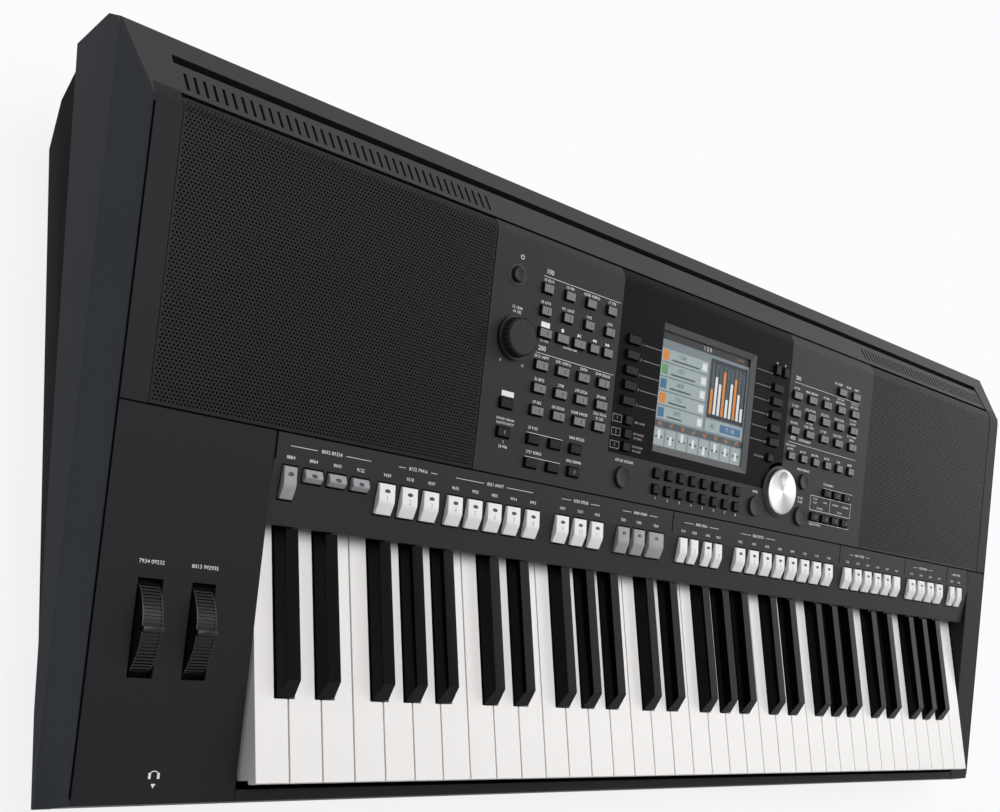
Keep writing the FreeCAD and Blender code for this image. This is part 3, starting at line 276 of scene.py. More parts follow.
# lit picture: colours of the tiles, broken by a fine dot raster
def litPicture(name, look):
    made = Finish(name, {"Emission Strength": look["glow"], "Roughness": 0.35, "Specular IOR Level": 0.2})
    colour = made.node("ShaderNodeAttribute", {"attribute_name": "tileColour"})
    across = made.node("ShaderNodeSeparateXYZ", None, {"Vector": made.place()})
    line = (across / look["dot"]) % 1
    toned = made.blend((line > 0.82) * 0.06, colour, (0, 0, 0, 1))
    made.paint("Base Color", made.blend(0.8, toned, (0, 0, 0, 1)))
    made.paint("Emission Color", toned)
    return made.material


dialPlace = {"x": 107.6, "v": 28.4}
dialMetal = {"tone": (0.42, 0.42, 0.425), "rough": 0.32, "rings": 900, "groove": 0.25, "fanTurn": 0.6,
             "centre": onPanel @ Vector((dialPlace["x"], dialPlace["v"], 0))}
steelLook = {"tone": (0.5, 0.5, 0.5), "rough": 0.4, "grain": 300}
windowGlass = {"tone": (0.02, 0.02, 0.025, 1), "rough": 0.04, "body": 0.05}
finishes["turnedDial"] = turnedMetal("turnedDial", dialMetal)
finishes["zincSteel"] = zincSteel("zincSteel", steelLook)
finishes["clearWindow"] = clearWindow("clearWindow", windowGlass)
finishes["litPicture"] = litPicture("litPicture", {"glow": 0.7, "dot": 0.00035})
print("finishes", len(finishes))

slotFinish = {
    "display_black": "insertBlack", "grille_black": "grilleSteel", "silver_dial": "turnedDial",
    "screen_glass": "clearWindow", "screen_panel": "litPicture", "steel": "zincSteel",
    "speaker_black": "coneBlack",
}
shellFinish = {
    "end_block_left": "endCharcoal", "end_block_right": "endCharcoal", "rear_panel": "deckCharcoal",
    "vent_panel": "deckCharcoal", "control_panel": "panelCharcoal", "control_strip": "panelCharcoal",
}
edgeLook = {"key": 0.6, "button": 0.35, "weld": 0.00001, "flat": 1, "corner": 15, "limit": 28}
edgeRound = {
    "end_block_left": 1.2, "end_block_right": 1.2, "cheek_left": 0.7, "cheek_right": 0.7, "key_slip": 0.8,
    "vent_panel": 0.35, "control_panel": 0.35, "control_strip": 0.4, "display_panel": 0.35, "lower_case": 1,
    "rubber_feet": 0.8,
}
for row in ("song", "style", "tempo", "display", "mixer", "voice", "part"):
    edgeRound[row + "_buttons"] = edgeLook["button"]
flushSeams = ("upper_case", "rear_panel")  # these meet without a gap, so their edges stay sharp


# the other slots have a finish of their own name
def finishOf(slot):
    first, *rest = slot.split("_")
    return slotFinish.get(slot, first + "".join(rest).title())


def addModifier(piece, name, kind, settings):
    made = piece.modifiers.new(name, kind)
    for key, value in settings.items():
        setattr(made, key, value)


for part in frame["record"]["subparts"]:
    name = part["node"]
    solid = nodes[name]
    solid.data.materials.clear()
    solid.data.materials.append(finishes[shellFinish.get(name, finishOf(part["material_slot"]))])
    edge = edgeLook["key"] if name.startswith("keys_") else edgeRound.get(name)
    if edge or name in flushSeams:
        solid.data.polygons.foreach_set("use_smooth", [True] * len(solid.data.polygons))
        addModifier(solid, "weld", "WELD", {"merge_threshold": edgeLook["weld"]})
        addModifier(solid, "flat", "DECIMATE", {
            "decimate_type": "DISSOLVE", "angle_limit": math.radians(edgeLook["flat"])})
    if name in flushSeams:
        addModifier(solid, "corners", "EDGE_SPLIT", {"split_angle": math.radians(edgeLook["corner"])})
    if edge:
        addModifier(solid, "edge", "BEVEL", {
            "width": edge * mm, "segments": 2, "limit_method": "ANGLE",
            "angle_limit": math.radians(edgeLook["limit"])})
        addModifier(solid, "normals", "WEIGHTED_NORMAL", {"keep_sharp": False, "weight": 80})
print("carried-over solids finished", len(nodes))


def objectMode():
    if bpy.context.mode != "OBJECT":
        bpy.ops.object.mode_set(mode="OBJECT")


def clearSelection():
    objectMode()
    bpy.ops.object.select_all(action="DESELECT")


def activate(piece):
    clearSelection()
    piece.select_set(True)
    bpy.context.view_layer.objects.active = piece


def started(name):
    piece = bpy.context.active_object
    piece.name = name
    piece.data.name = name
    bpy.ops.object.transform_apply(location=True, rotation=True, scale=True)
    return piece


def pick(piece, mode, test):
    bpy.ops.object.mode_set(mode="EDIT")
    bpy.ops.mesh.select_mode(type=mode)
    bpy.ops.mesh.select_all(action="DESELECT")
    bpy.ops.object.mode_set(mode="OBJECT")
    mesh = piece.data
    if mode == "FACE":
        mesh.polygons.foreach_set("select", [bool(test(f)) for f in mesh.polygons])
    elif mode == "VERT":
        mesh.vertices.foreach_set("select", [bool(test(v)) for v in mesh.vertices])
    else:
        spots = [v.co for v in mesh.vertices]
        ends = [(spots[e.vertices[0]], spots[e.vertices[1]]) for e in mesh.edges]
        mesh.edges.foreach_set("select", [bool(test(a, b)) for a, b in ends])
    bpy.ops.object.mode_set(mode="EDIT")


def pickTop(piece):
    pick(piece, "FACE", lambda f: f.normal.z > 0.9)


def pickAll(mode="FACE"):
    bpy.ops.object.mode_set(mode="EDIT")
    bpy.ops.mesh.select_mode(type=mode)
    bpy.ops.mesh.select_all(action="SELECT")


def insetBy(thick, deep=0):
    bpy.ops.mesh.inset(thickness=thick, depth=deep)


def bevelEdges(wide, segments=2):
    bpy.ops.mesh.bevel(offset=wide, segments=segments, affect="EDGES")


def copyOf(piece, name, matrix):
    twin = piece.copy()
    twin.data = piece.data.copy()
    twin.name = name
    bpy.context.scene.collection.objects.link(twin)
    twin.data.transform(matrix)
    return twin


def copiesAt(piece, name, spots):
    return [copyOf(piece, name, Matrix.Translation((x, v, 0))) for x, v in spots]


def joined(parts, name):
    clearSelection()
    for part in parts:
        part.select_set(True)
    bpy.context.view_layer.objects.active = parts[0]
    if len(parts) > 1:
        bpy.ops.object.join()
    whole = bpy.context.active_object
    whole.name = name
    whole.data.name = name
    return whole


def applyModifier(piece, kind, settings):
    activate(piece)
    addModifier(piece, kind.lower(), kind, settings)
    bpy.ops.object.modifier_apply(modifier=piece.modifiers[-1].name)


def thickened(piece, thick, offset=-1):
    objectMode()
    applyModifier(piece, "SOLIDIFY", {"thickness": thick, "offset": offset})


def smoothEdges(piece, angle=30):
    activate(piece)
    bpy.ops.object.shade_smooth_by_angle(angle=math.radians(angle))


def settle(piece, matrix, body, finish, stands=()):
    objectMode()
    piece.data.transform(matrix)
    piece.data.materials.clear()
    piece.data.materials.append(finishes[finish])
    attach(piece, body)
    if stands:
        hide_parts(*stands)


def cutAt(axis, at, clear=False, inner=False):
    normal = (1, 0, 0) if axis == "X" else (0, 1, 0)
    bpy.ops.mesh.select_all(action="SELECT")
    bpy.ops.mesh.bisect(
        plane_co=tuple(n * at for n in normal), plane_no=normal, clear_outer=clear and not inner,
        clear_inner=clear and inner)


def flatSheet(name, x0, x1, low, high, w):
    clearSelection()
    bpy.ops.mesh.primitive_plane_add(size=1, location=((x0 + x1) / 2, (low + high) / 2, w))
    bpy.context.active_object.scale = (x1 - x0, high - low, 1)
    return started(name)


def block(name, x0, x1, low, high, bottom, top, edge=0):
    clearSelection()
    middle = ((x0 + x1) / 2, (low + high) / 2, (bottom + top) / 2)
    bpy.ops.mesh.primitive_cube_add(size=1, location=middle)
    bpy.context.active_object.scale = (x1 - x0, high - low, top - bottom)
    made = started(name)
    if edge:
        pickAll("EDGE")
        bevelEdges(edge)
        objectMode()
    return made


def drum(name, sides, radius, low, high, x=0, v=0, turnBy=0):
    clearSelection()
    bpy.ops.mesh.primitive_cylinder_add(
        vertices=sides, radius=radius, depth=high - low, location=(x, v, (low + high) / 2),
        rotation=(0, 0, turnBy))
    return started(name)


# speaker grilles: punched sheet rolled over the ridge, black cloth behind it
grille = {"pitch": 2.45, "hole": 0.74, "deep": 0.8, "sink": 0.4, "edge": 0.6, "rim": 1.3, "rimProud": 0.05,
          "cloth": 0.3, "folds": 6, "onRow": 0.15,
          "sides": {"grilleLeft": (-473.6, -238.5), "grilleRight": (239.5, 473.6)}}
rowStep = grille["pitch"] * math.sqrt(3) / 2
bend = slope + fall
reach = profile["ridgeRound"] * math.tan(bend / 2)
flatRun = ridgeV - reach - crossV
arcRun = profile["ridgeRound"] * bend
sheetRun = flatRun + arcRun + (profile["rollEndY"] - profile["ridgeY"]) / math.cos(fall) - reach


def overRidge(run, w):
    if run < flatRun:
        v = crossV + run
        return v * math.cos(slope) - w * math.sin(slope), panelZ + v * math.sin(slope) + w * math.cos(slope)
    startV = ridgeV - reach
    centreY = startV * math.cos(slope) + profile["ridgeRound"] * math.sin(slope)
    centreZ = panelZ + startV * math.sin(slope) - profile["ridgeRound"] * math.cos(slope)
    turn = min((run - flatRun) / profile["ridgeRound"], bend) - slope
    radius = profile["ridgeRound"] + w
    past = max(0, run - flatRun - arcRun)
    return (centreY + radius * math.sin(turn) + past * math.cos(fall),
            centreZ + radius * math.cos(turn) - past * math.sin(fall))


def rollOver(piece):
    objectMode()
    for point in piece.data.vertices:
        y, z = overRidge(point.co.y, point.co.z)
        point.co = (point.co.x, y, z)


# a plain sheet, folded in steps at the ridge
def rolledSheet(sheet, thick):
    for step in range(grille["folds"] + 1):
        cutAt("Y", flatRun + arcRun * step / grille["folds"])
    thickened(sheet, thick)
    rollOver(sheet)


def offRow(y, first):
    row = (y - first) / rowStep
    return abs(row - round(row))


for name, ends in grille["sides"].items():
    x0 = ends[0] + grille["edge"]
    x1 = ends[1] - grille["edge"]
    low = grille["edge"]
    high = sheetRun - grille["edge"]
    across = math.ceil((x1 - x0) / grille["pitch"]) + 3
    along = math.ceil((high - low) / rowStep) + 3
    clearSelection()
    bpy.ops.mesh.primitive_grid_add(
        x_subdivisions=across, y_subdivisions=along, size=1,
        location=((x0 + x1) / 2, (low + high) / 2, -grille["sink"]))
    bpy.context.active_object.scale = (across * grille["pitch"], along * rowStep, 1)
    sheet = started(name)
    base = min(v.co.y for v in sheet.data.vertices)
    pick(sheet, "VERT", lambda v: round((v.co.y - base) / rowStep) % 2)
    bpy.ops.transform.translate(value=(grille["pitch"] / 2, 0, 0))
    pickAll("VERT")
    bpy.ops.mesh.quads_convert_to_tris(quad_method="SHORTEST_DIAGONAL")
    bpy.ops.mesh.bevel(offset=grille["hole"], affect="VERTICES", segments=1)
    pick(sheet, "FACE", lambda f: offRow(f.center.y, base) < grille["onRow"])
    bpy.ops.mesh.delete(type="FACE")  # the holes
    for axis, first, last in (("X", x0, x1), ("Y", low, high)):
        cutAt(axis, first + grille["rim"] / 2, True, True)
        cutAt(axis, last - grille["rim"] / 2, True)
    bpy.ops.mesh.select_mode(type="EDGE")
    bpy.ops.mesh.select_all(action="DESELECT")
    bpy.ops.mesh.select_non_manifold()
    bpy.ops.mesh.extrude_edges_move(TRANSFORM_OT_translate={"value": (0, 0, -grille["deep"])})
    rollOver(sheet)
    frameRim = flatSheet(name + "Rim", x0, x1, low, high, grille["rimProud"] - grille["sink"])
    pickAll()
    insetBy(grille["rim"])
    bpy.ops.mesh.delete(type="ONLY_FACE")
    rolledSheet(frameRim, grille["deep"])
    cloth = flatSheet(name + "Cloth", x0, x1, low, high, -grille["sink"] - grille["deep"])
    pickAll()
    rolledSheet(cloth, grille["cloth"])
    whole = joined([sheet, frameRim], name)
    settle(whole, shrink, "case", "grilleSteel", ["speaker_grilles"])
    settle(cloth, shrink, "case", "backCloth")
print("grilles punched")

# bender wheels: ribbed tread between smooth rims, one raised bar
wheel = {"radius": 35.979, "width": 12.5, "sides": 216, "rim": 0.9, "rimRound": 0.3, "deep": 0.75,
         "inset": 0.12, "barWide": 3.4, "barHigh": 2.1, "barDeep": 4, "barRound": 0.6, "v": -127.799,
         "rise": 8, "x": {"pitch_wheel": -459.6, "modulation_wheel": -427}}
for body, x in wheel["x"].items():
    clearSelection()
    bpy.ops.mesh.primitive_cylinder_add(
        vertices=wheel["sides"], radius=wheel["radius"], depth=wheel["width"], rotation=(0, math.pi / 2, 0))
    tread = started(body + "Tread")
    half = wheel["width"] / 2
    pickAll()
    cutAt("X", half - wheel["rim"])
    cutAt("X", wheel["rim"] - half)
    span = 2 * math.pi / wheel["sides"]
    pick(tread, "FACE", lambda f: abs(f.normal.x) < 0.5 and abs(f.center.x) < half - wheel["rim"]
         and math.floor(math.atan2(f.center.z, f.center.y) / span) % 2)
    bpy.ops.mesh.inset(thickness=wheel["inset"], depth=-wheel["deep"], use_individual=True)
    pick(tread, "EDGE", lambda a, b: abs(abs(a.x) - half) < 0.01 and abs(abs(b.x) - half) < 0.01)
    bevelEdges(wheel["rimRound"])
    top = wheel["radius"] + wheel["barHigh"]
    bar = block(body + "Bar", -half, half, -wheel["barWide"] / 2, wheel["barWide"] / 2,
                top - wheel["barDeep"], top, wheel["barRound"])
    whole = joined([tread, bar], body + "Tread")
    smoothEdges(whole)
    axle = onPanel @ Matrix.Translation((x, wheel["v"], wheel["rise"] - wheel["radius"]))
    settle(whole, axle, body, "rubberBlack", [body])
print("wheels ribbed")

# volume knob: fluted grip on a skirt, dished top with a dark mark
knob = {"x": -214.5, "v": 89.8, "lift": 0.3, "skirt": 15.5, "skirtHigh": 2.6, "grip": 14, "top": 13.2,
        "high": 9.4, "sides": 96, "shoulder": 0.8, "taper": 0.96, "flute": 0.4, "dish": 0.5, "discIn": 0.6,
        "discThick": 0.6, "mark": 10.2, "markWide": 1.2, "markLong": 3.4, "markHigh": 0.48}


def raiseTop(high, widen):
    bpy.ops.mesh.extrude_region_move(TRANSFORM_OT_translate={"value": (0, 0, high)})
    bpy.ops.transform.resize(value=(widen, widen, 1))


grip = drum("volumeKnob", knob["sides"], knob["skirt"], knob["lift"], knob["lift"] + knob["skirtHigh"])
pickTop(grip)
insetBy(knob["skirt"] - knob["grip"])
raiseTop(knob["high"] - knob["skirtHigh"] - knob["shoulder"], knob["top"] / knob["grip"])
raiseTop(knob["shoulder"], knob["taper"])
insetBy(0.5, -knob["dish"])
pick(grip, "FACE", lambda f: abs(f.normal.z) < 0.4 and f.center.z > knob["skirtHigh"] + 1
     and math.floor(math.atan2(f.center.y, f.center.x) * knob["sides"] / (2 * math.pi)) % 4 < 2)
insetBy(0.1, -knob["flute"])
objectMode()
smoothEdges(grip, 35)
topDisc = knob["lift"] + knob["high"] - knob["dish"]
half = knob["discThick"] / 2
disc = drum("volumeKnobTop", 64, knob["top"] * knob["taper"] - knob["discIn"], topDisc - half, topDisc + half)
pickTop(disc)
insetBy(0.5, 0.1)
objectMode()
wide = knob["markWide"] / 2
long = knob["markLong"] / 2
line = block("volumeKnobLine", -wide, wide, knob["mark"] - long, knob["mark"] + long, topDisc,
             topDisc + knob["markHigh"], 0.1)
knobSpot = onPanel @ Matrix.Translation((knob["x"], knob["v"], 0))
settle(grip, knobSpot, "volume_knob", "socketBlack", ["volume_knob"])
settle(disc, knobSpot, "volume_knob", "roundDark")
settle(line, knobSpot, "volume_knob", "socketBlack")

# data dial: turned disc with a finger dimple, on a black skirt
dial = {"radius": 19.8, "skirt": 22.2, "low": -1.3, "skirtHigh": 1.6, "top": 5.3, "round": 1.4, "dimple": 6.2,
        "dimpleAt": 11.3, "dimpleDeep": 1.6}
disc = drum("dataDial", 128, dial["radius"], 0, dial["top"])
pick(disc, "EDGE", lambda a, b: min(a.z, b.z) > dial["top"] - 0.01)
bevelEdges(dial["round"], 4)
ball = (dial["dimple"] ** 2 + dial["dimpleDeep"] ** 2) / (2 * dial["dimpleDeep"])
clearSelection()
bpy.ops.mesh.primitive_uv_sphere_add(segments=48, ring_count=32, radius=ball, location=(
    0, dial["dimpleAt"], dial["top"] + ball - dial["dimpleDeep"]))
cutter = started("dimpleCutter")
applyModifier(disc, "BOOLEAN", {"object": cutter, "operation": "DIFFERENCE", "solver": "EXACT"})
bpy.data.objects.remove(cutter)
smoothEdges(disc, 25)
skirt = drum("dataDialSkirt", 96, dial["skirt"], dial["low"], dial["low"] + dial["skirtHigh"])
pickTop(skirt)
insetBy(0.5, 0.25)
objectMode()
smoothEdges(skirt)
dialSpot = onPanel @ Matrix.Translation((dialPlace["x"], dialPlace["v"], 0))
settle(disc, dialSpot, "data_dial", "turnedDial", ["data_dial"])
settle(skirt, dialSpot, "data_dial", "socketBlack")
print("knob and dial turned")

# strip buttons: caps that rise to a soft bend and fall to the front
capLook = {"back": -1, "low": -3, "end": 1.8, "crown": 4.2, "bendAt": 0.57, "soft": 0.1, "rows": 14,
           "round": 0.6}
tall = 20
short = 8


def capHigh(t):
    rise = t / capLook["bendAt"]
    drop = (1 - t) / (1 - capLook["bendAt"])
    soft = capLook["soft"]
    level = -soft * math.log(math.exp(-rise / soft) + math.exp(-drop / soft))
    return capLook["end"] + (capLook["crown"] - capLook["end"]) * max(0, level)


def stripCap(wide, long):
    back = capLook["back"]
    cap = block("cap", -wide / 2, wide / 2, back - long, back, capLook["low"], capLook["end"])
    steps = [step / capLook["rows"] for step in range(1, capLook["rows"])]
    pickAll()
    for t in steps:
        cutAt("Y", back - long * t)
    for t in steps:
        pick(cap, "VERT", lambda v: v.co.z > 0 and abs(v.co.y - back + long * t) < 0.01)
        bpy.ops.transform.translate(value=(0, 0, capHigh(t) - capLook["end"]))
    objectMode()
    applyModifier(cap, "BEVEL", {
        "width": capLook["round"], "segments": 3, "limit_method": "ANGLE", "angle_limit": math.radians(50)})
    smoothEdges(cap, 40)
    return cap


def evenly(first, step, count, wide=12.5, long=tall):
    return [(first + step * i, wide, long) for i in range(count)]


paleCap = {"finish": "buttonPale", "slot": "button_pale"}
whiteCap = {"finish": "buttonWhite", "slot": "button_white"}
stripRows = {
    "start_buttons": {**paleCap, "caps": [(-380.1, 9, tall)] + evenly(-363.9, 17.4, 3, 12.5, short)
                      + [(-84.3, 12.5, tall), (-66.8, 12.5, tall), (-46.8, 17, tall)]},
    "section_buttons": {**whiteCap, "caps": [(x, 12.5, tall) for x in (
        -308.2, -289.9, -272, -251.5, -233.9, -216.2, -198.5, -179.8, -150.2, -131.8, -113.7)]},
    "pad_buttons": {**whiteCap, "caps": [(x, 9, tall) for x in (-13.3, 0.4, 17.7, 31.4)]},
    "memory_buttons": {**whiteCap, "caps": evenly(61.3, 18.9, 8)},
    "touch_buttons": {**whiteCap, "caps": evenly(225.4, 17.42, 6, 11.5) + evenly(341.5, 18.2, 4)
                      + evenly(422.6, 14.6, 2, 9)},
}
capSpots = {}
for group in stripRows.values():
    for x, wide, long in group["caps"]:
        capSpots.setdefault((wide, long), []).append((x, 0))
capShapes = {size: stripCap(*size) for size in capSpots}
for body, group in stripRows.items():
    caps = []
    for x, wide, long in group["caps"]:
        caps += copiesAt(capShapes[(wide, long)], body + "Cap", [(x, 0)])
    settle(joined(caps, body + "Caps"), onBand, body, group["finish"], [body])
for shape in capShapes.values():
    bpy.data.objects.remove(shape)

# small oval lamps and faint numbers on the caps, some caps have no lamp
capMark = {"along": 0.22, "shortAlong": 0.4, "lampWide": 4.4, "lampLong": 2.5, "lampThick": 0.5,
           "proud": 0.12, "numberAlong": 0.46, "numberSize": 5, "numberThick": 0.1, "numberSink": 0.03,
           "noLamp": (-13.3, 0.4, 31.4, 225.4, 312.5, 422.6, 437.2), "near": 0.2}
half = capMark["lampThick"] / 2
oval = drum("capLamp", 24, 0.5, -half, half)
oval.data.transform(Matrix.Diagonal((capMark["lampWide"], capMark["lampLong"], 1, 1)))
pickTop(oval)
insetBy(0.25, 0.06)
objectMode()
smoothEdges(oval)


def onCap(x, long, t):
    lean = math.atan((capHigh(t + 0.02) - capHigh(t - 0.02)) / (-0.04 * long))
    high = capHigh(t) + capMark["proud"]
    return Matrix.Translation((x, capLook["back"] - long * t, high)) @ Matrix.Rotation(lean, 4, "X")


def written(text, x, v, size, w, thick=0):
    clearSelection()
    bpy.ops.object.text_add()
    mark = bpy.context.active_object
    mark.data.body = text
    mark.data.size = size
    mark.data.align_x = "CENTER"
    mark.data.align_y = "CENTER"
    mark.data.resolution_u = 2
    mark.data.extrude = thick / 2
    bpy.ops.object.convert(target="MESH")
    mark = bpy.context.active_object
    mark.data.transform(Matrix.Translation((x, v, w)))
    return mark


lampSink = Matrix.Translation((0, 0, -half))
for body, group in stripRows.items():
    ovals = []
    for x, wide, long in group["caps"]:
        if min(abs(x - bare) for bare in capMark["noLamp"]) > capMark["near"]:
            along = capMark["along"] if long == tall else capMark["shortAlong"]
            ovals.append(copyOf(oval, body + "Lamp", onCap(x, long, along) @ lampSink))
    settle(joined(ovals, body + "Lamps"), onBand, body, "lampDark")
bpy.data.objects.remove(oval)
sunk = -capMark["proud"] - capMark["numberSink"]
for body, group in stripRows.items():
    marks = []
    for count, (x, wide, long) in enumerate(group["caps"]):
        if long == tall:
            mark = written(str(count + 1), 0, 0, capMark["numberSize"], sunk, capMark["numberThick"])
            mark.data.transform(onCap(x, long, capMark["numberAlong"]))
            marks.append(mark)
    settle(joined(marks, body + "Numbers"), onBand, body, "printGrey")
print("strip caps moulded")

# round buttons with dished tops, and the power button in a black ring of painted shade that stands for the
# dark gap round it
roundLook = {"low": -2, "top": 2.6, "rim": 0.8, "dish": 0.7, "edge": 0.45, "power": (-216.9, 133.5, 4.9),
             "ring": 6.75, "ringWide": 1.35, "ringTop": 0.35, "ringBottom": 0.1,
             "spots": [(-91.6, 11.2, 8.2), (74.9, 11.6, 8.2), (142.2, 42.2, 6.7), (141.2, 11.4, 8.2)]}


def roundCap(name, x, v, radius):
    cap = drum(name, 64, radius, roundLook["low"], roundLook["top"], x, v)
    middle = Vector((x, v))
    pickTop(cap)
    insetBy(roundLook["rim"])
    for turnIn in range(4):
        insetBy(radius * 0.18, -roundLook["dish"] * (0.4 - 0.1 * turnIn))
    pick(cap, "EDGE", lambda a, b: min(a.z, b.z) > roundLook["top"] - 0.01
         and min((a.xy - middle).length, (b.xy - middle).length) > radius - 0.05)
    bevelEdges(roundLook["edge"], 3)
    objectMode()
    smoothEdges(cap, 35)
    return cap


rounds = [roundCap("roundCap", *spot) for spot in roundLook["spots"]]
settle(joined(rounds, "roundCaps"), onPanel, "page_buttons", "roundDark", ["page_buttons"])
power = roundCap("powerCap", *roundLook["power"])
settle(power, onPanel, "power_button", "roundDark", ["power_button"])
# painted shade: a black ring round the power button, standing for the dark gap about it
ringMiddle = roundLook["power"][:2] + (0,)
clearSelection()
bpy.ops.mesh.primitive_torus_add(
    major_segments=64, minor_segments=16, major_radius=roundLook["ring"], minor_radius=roundLook["ringWide"],
    location=ringMiddle)
ring = started("powerRing")
pick(ring, "VERT", lambda v: v.co.z > 0)
bpy.ops.transform.resize(value=(1, 1, roundLook["ringTop"]), center_override=ringMiddle)
pick(ring, "VERT", lambda v: v.co.z < 0)
bpy.ops.transform.resize(value=(1, 1, roundLook["ringBottom"]), center_override=ringMiddle)
objectMode()
smoothEdges(ring, 40)
settle(ring, onPanel, "case", "socketBlack")
print("round buttons dished")


# places of the panel buttons
def spread(first, step, count):
    return [first + step * i for i in range(count)]


def grid(xs, *vs):
    return [(x, v) for v in vs for x in xs]


songX = spread(-188.1, 22.07, 4)
styleX = spread(-187.1, 21.33, 4)
voiceX = spread(120.9, 22.97, 5)
effectX = spread(119.4, 18.9, 6)
mixerX = spread(-52.9, 14.59, 8)
partX = [162.8, 179.7, 195.5, 212]
playX = [-186.8, -169.3, -152.2]
playV = 99.3
tempoX = -215.6
softV = (115.6, 103.8, 92.1, 80.6, 68.8)
selectV = (54.5, 44.2, 34.4)
styleSpots = grid(styleX, 76.2, 59.9, 43.9)
voiceSpots = grid(voiceX, 115.2, 99.8, 84.4)
effectSpots = grid(effectX, 61.9)
partSpots = grid(partX[1:], 36.9) + grid(partX, 13.6)

# lamp windows in the panel buttons, two of them in the middle of their cap
windowLook = {"wide": 1.1, "long": 2.8, "top": 2.6, "sink": 0.5, "proud": 0.08, "off": 1.4, "round": 0.1}
windowRows = {
    "song_buttons": ("lampDark", "button_grey", grid(songX, 114.9) + [(songX[3], 130.9)]
                     + grid(playX[::2], playV)),
    "style_buttons": ("lampDark", "button_grey", styleSpots),
    "tempo_buttons": ("lampClear", "button_dark", [
        (tempoX - windowLook["off"], 23.6), (styleX[2] - windowLook["off"], 6.9)]),
    "voice_buttons": ("lampDark", "button_grey", voiceSpots + effectSpots),
    "part_buttons": ("lampClear", "button_dark", partSpots),
}
halfWide = windowLook["wide"] / 2
halfLong = windowLook["long"] / 2
pane = block("pane", -halfWide, halfWide, -halfLong, halfLong, windowLook["top"] - windowLook["sink"],
             windowLook["top"] + windowLook["proud"], windowLook["round"])
for body, (finish, slot, spots) in windowRows.items():
    panes = copiesAt(pane, body + "Pane", [(x + windowLook["off"], v) for x, v in spots])
    settle(joined(panes, body + "Panes"), onPanel, body, finish)
bpy.data.objects.remove(pane)
print("lamp windows set")

# black rims round the button wells, by the caps' width and length: painted shade standing for the shadowed
# gap about each cap
wellShadowLook = {"clear": 0.3, "wide": 0.75, "lift": 0.012, "thick": 0.05}
wellShadowRows = [
    (9.1, 6, grid(songX, 130.9, 114.9) + grid([-136.5, -121.9], playV)),
    (11.5, 6, grid(playX, playV) + styleSpots + grid(styleX[:3], 23.6, 6.9) + grid([tempoX], 43.7, 23.6)),
    (13, 6, grid([-94.3, 91.6], *softV)),
    (7.2, 6, grid([-91.9], *selectV) + [(89.1, 55)]),
    (6.4, 7.6, grid([88.9, 100.8], 130.8)),
    (11.6, 6, voiceSpots + grid([189.4, 212.2], 131.4)),
    (8.9, 6, effectSpots),
    (11, 6, partSpots),
    (7.3, 6.6, grid(mixerX, 20, 7.6)),
]


# painted shade: a flat black frame round each cap, standing for the shadowed gap about it
def wellRims(wide, low, high, spots):
    edge = wellShadowLook["clear"] + wellShadowLook["wide"]
    half = wide / 2 + edge
    rim = flatSheet("wellRim", -half, half, low - edge, high + edge, wellShadowLook["lift"])
    pickAll()
    insetBy(wellShadowLook["wide"])
    bpy.ops.mesh.delete(type="FACE")
    thickened(rim, wellShadowLook["thick"])
    rims = copiesAt(rim, "wellRim", spots)
    bpy.data.objects.remove(rim)
    return rims


panelShadowRims = []
for wide, long, spots in wellShadowRows:
    panelShadowRims += wellRims(wide, -long / 2, long / 2, spots)
settle(joined(panelShadowRims, "wellRims"), onPanel, "case", "backCloth")
stripShadowRims = []
for (wide, long), spots in capSpots.items():
    stripShadowRims += wellRims(wide, capLook["back"] - long, capLook["back"], spots)
settle(joined(stripShadowRims, "capRims"), onBand, "case", "backCloth")
print("wells edged")

# screen: sloped frame round the window, and the picture below it
bezel = {"halfX": 60, "low": 36.6, "high": 137.4, "innerX": 56.2, "innerLow": 42.4, "innerHigh": 132.9,
         "lip": -0.1, "deep": 3.3, "thick": 0.35}
surround = flatSheet("screenFrame", -bezel["halfX"], bezel["halfX"], bezel["low"], bezel["high"],
                     bezel["lip"])
pickAll()
insetBy(bezel["halfX"] - bezel["innerX"])
middle = (bezel["low"] + bezel["high"]) / 2
insetHalf = (bezel["high"] - bezel["low"]) / 2 - (bezel["halfX"] - bezel["innerX"])
innerHalf = (bezel["innerHigh"] - bezel["innerLow"]) / 2
innerMiddle = (bezel["innerLow"] + bezel["innerHigh"]) / 2
bpy.ops.transform.resize(value=(1, innerHalf / insetHalf, 1), center_override=(0, middle, bezel["lip"]))
bpy.ops.transform.translate(value=(0, innerMiddle - middle, -bezel["deep"]))
bpy.ops.mesh.delete(type="FACE")
thickened(surround, bezel["thick"])
settle(surround, onPanel, "case", "bezelGrey")

tileTone = {
    "black": (0.004, 0.004, 0.006), "teal": (0.19, 0.24, 0.26), "pale": (0.38, 0.46, 0.46),
    "navy": (0.005, 0.01, 0.028), "orange": (0.75, 0.25, 0.02), "white": (0.85, 0.87, 0.87),
    "blue": (0.05, 0.16, 0.32), "green": (0.12, 0.35, 0.12), "slate": (0.06, 0.08, 0.095),
}
picture = {"top": -4.74, "step": 0.025, "thick": 0.012, "under": 0.03, "bottom": -10.6, "edge": 63,
           "badges": ("orange", "green", "blue", "orange", "blue"),
           "bars": (20, 31, 26, 37, 15, 29, 34, 22, 11),
           "faders": (2, -1.5, 3, 0.5, -2.5, 2.5, 1, -0.5)}
tiles = []


def tinted(piece, tone):
    layer = piece.data.color_attributes.new("tileColour", "FLOAT_COLOR", "CORNER")
    layer.data.foreach_set("color", (tileTone[tone] + (1,)) * len(layer.data))
    tiles.append(piece)


def tile(tone, x0, x1, low, high, level=1):
    tinted(flatSheet("tile", x0, x1, low, high, picture["top"] + level * picture["step"]), tone)


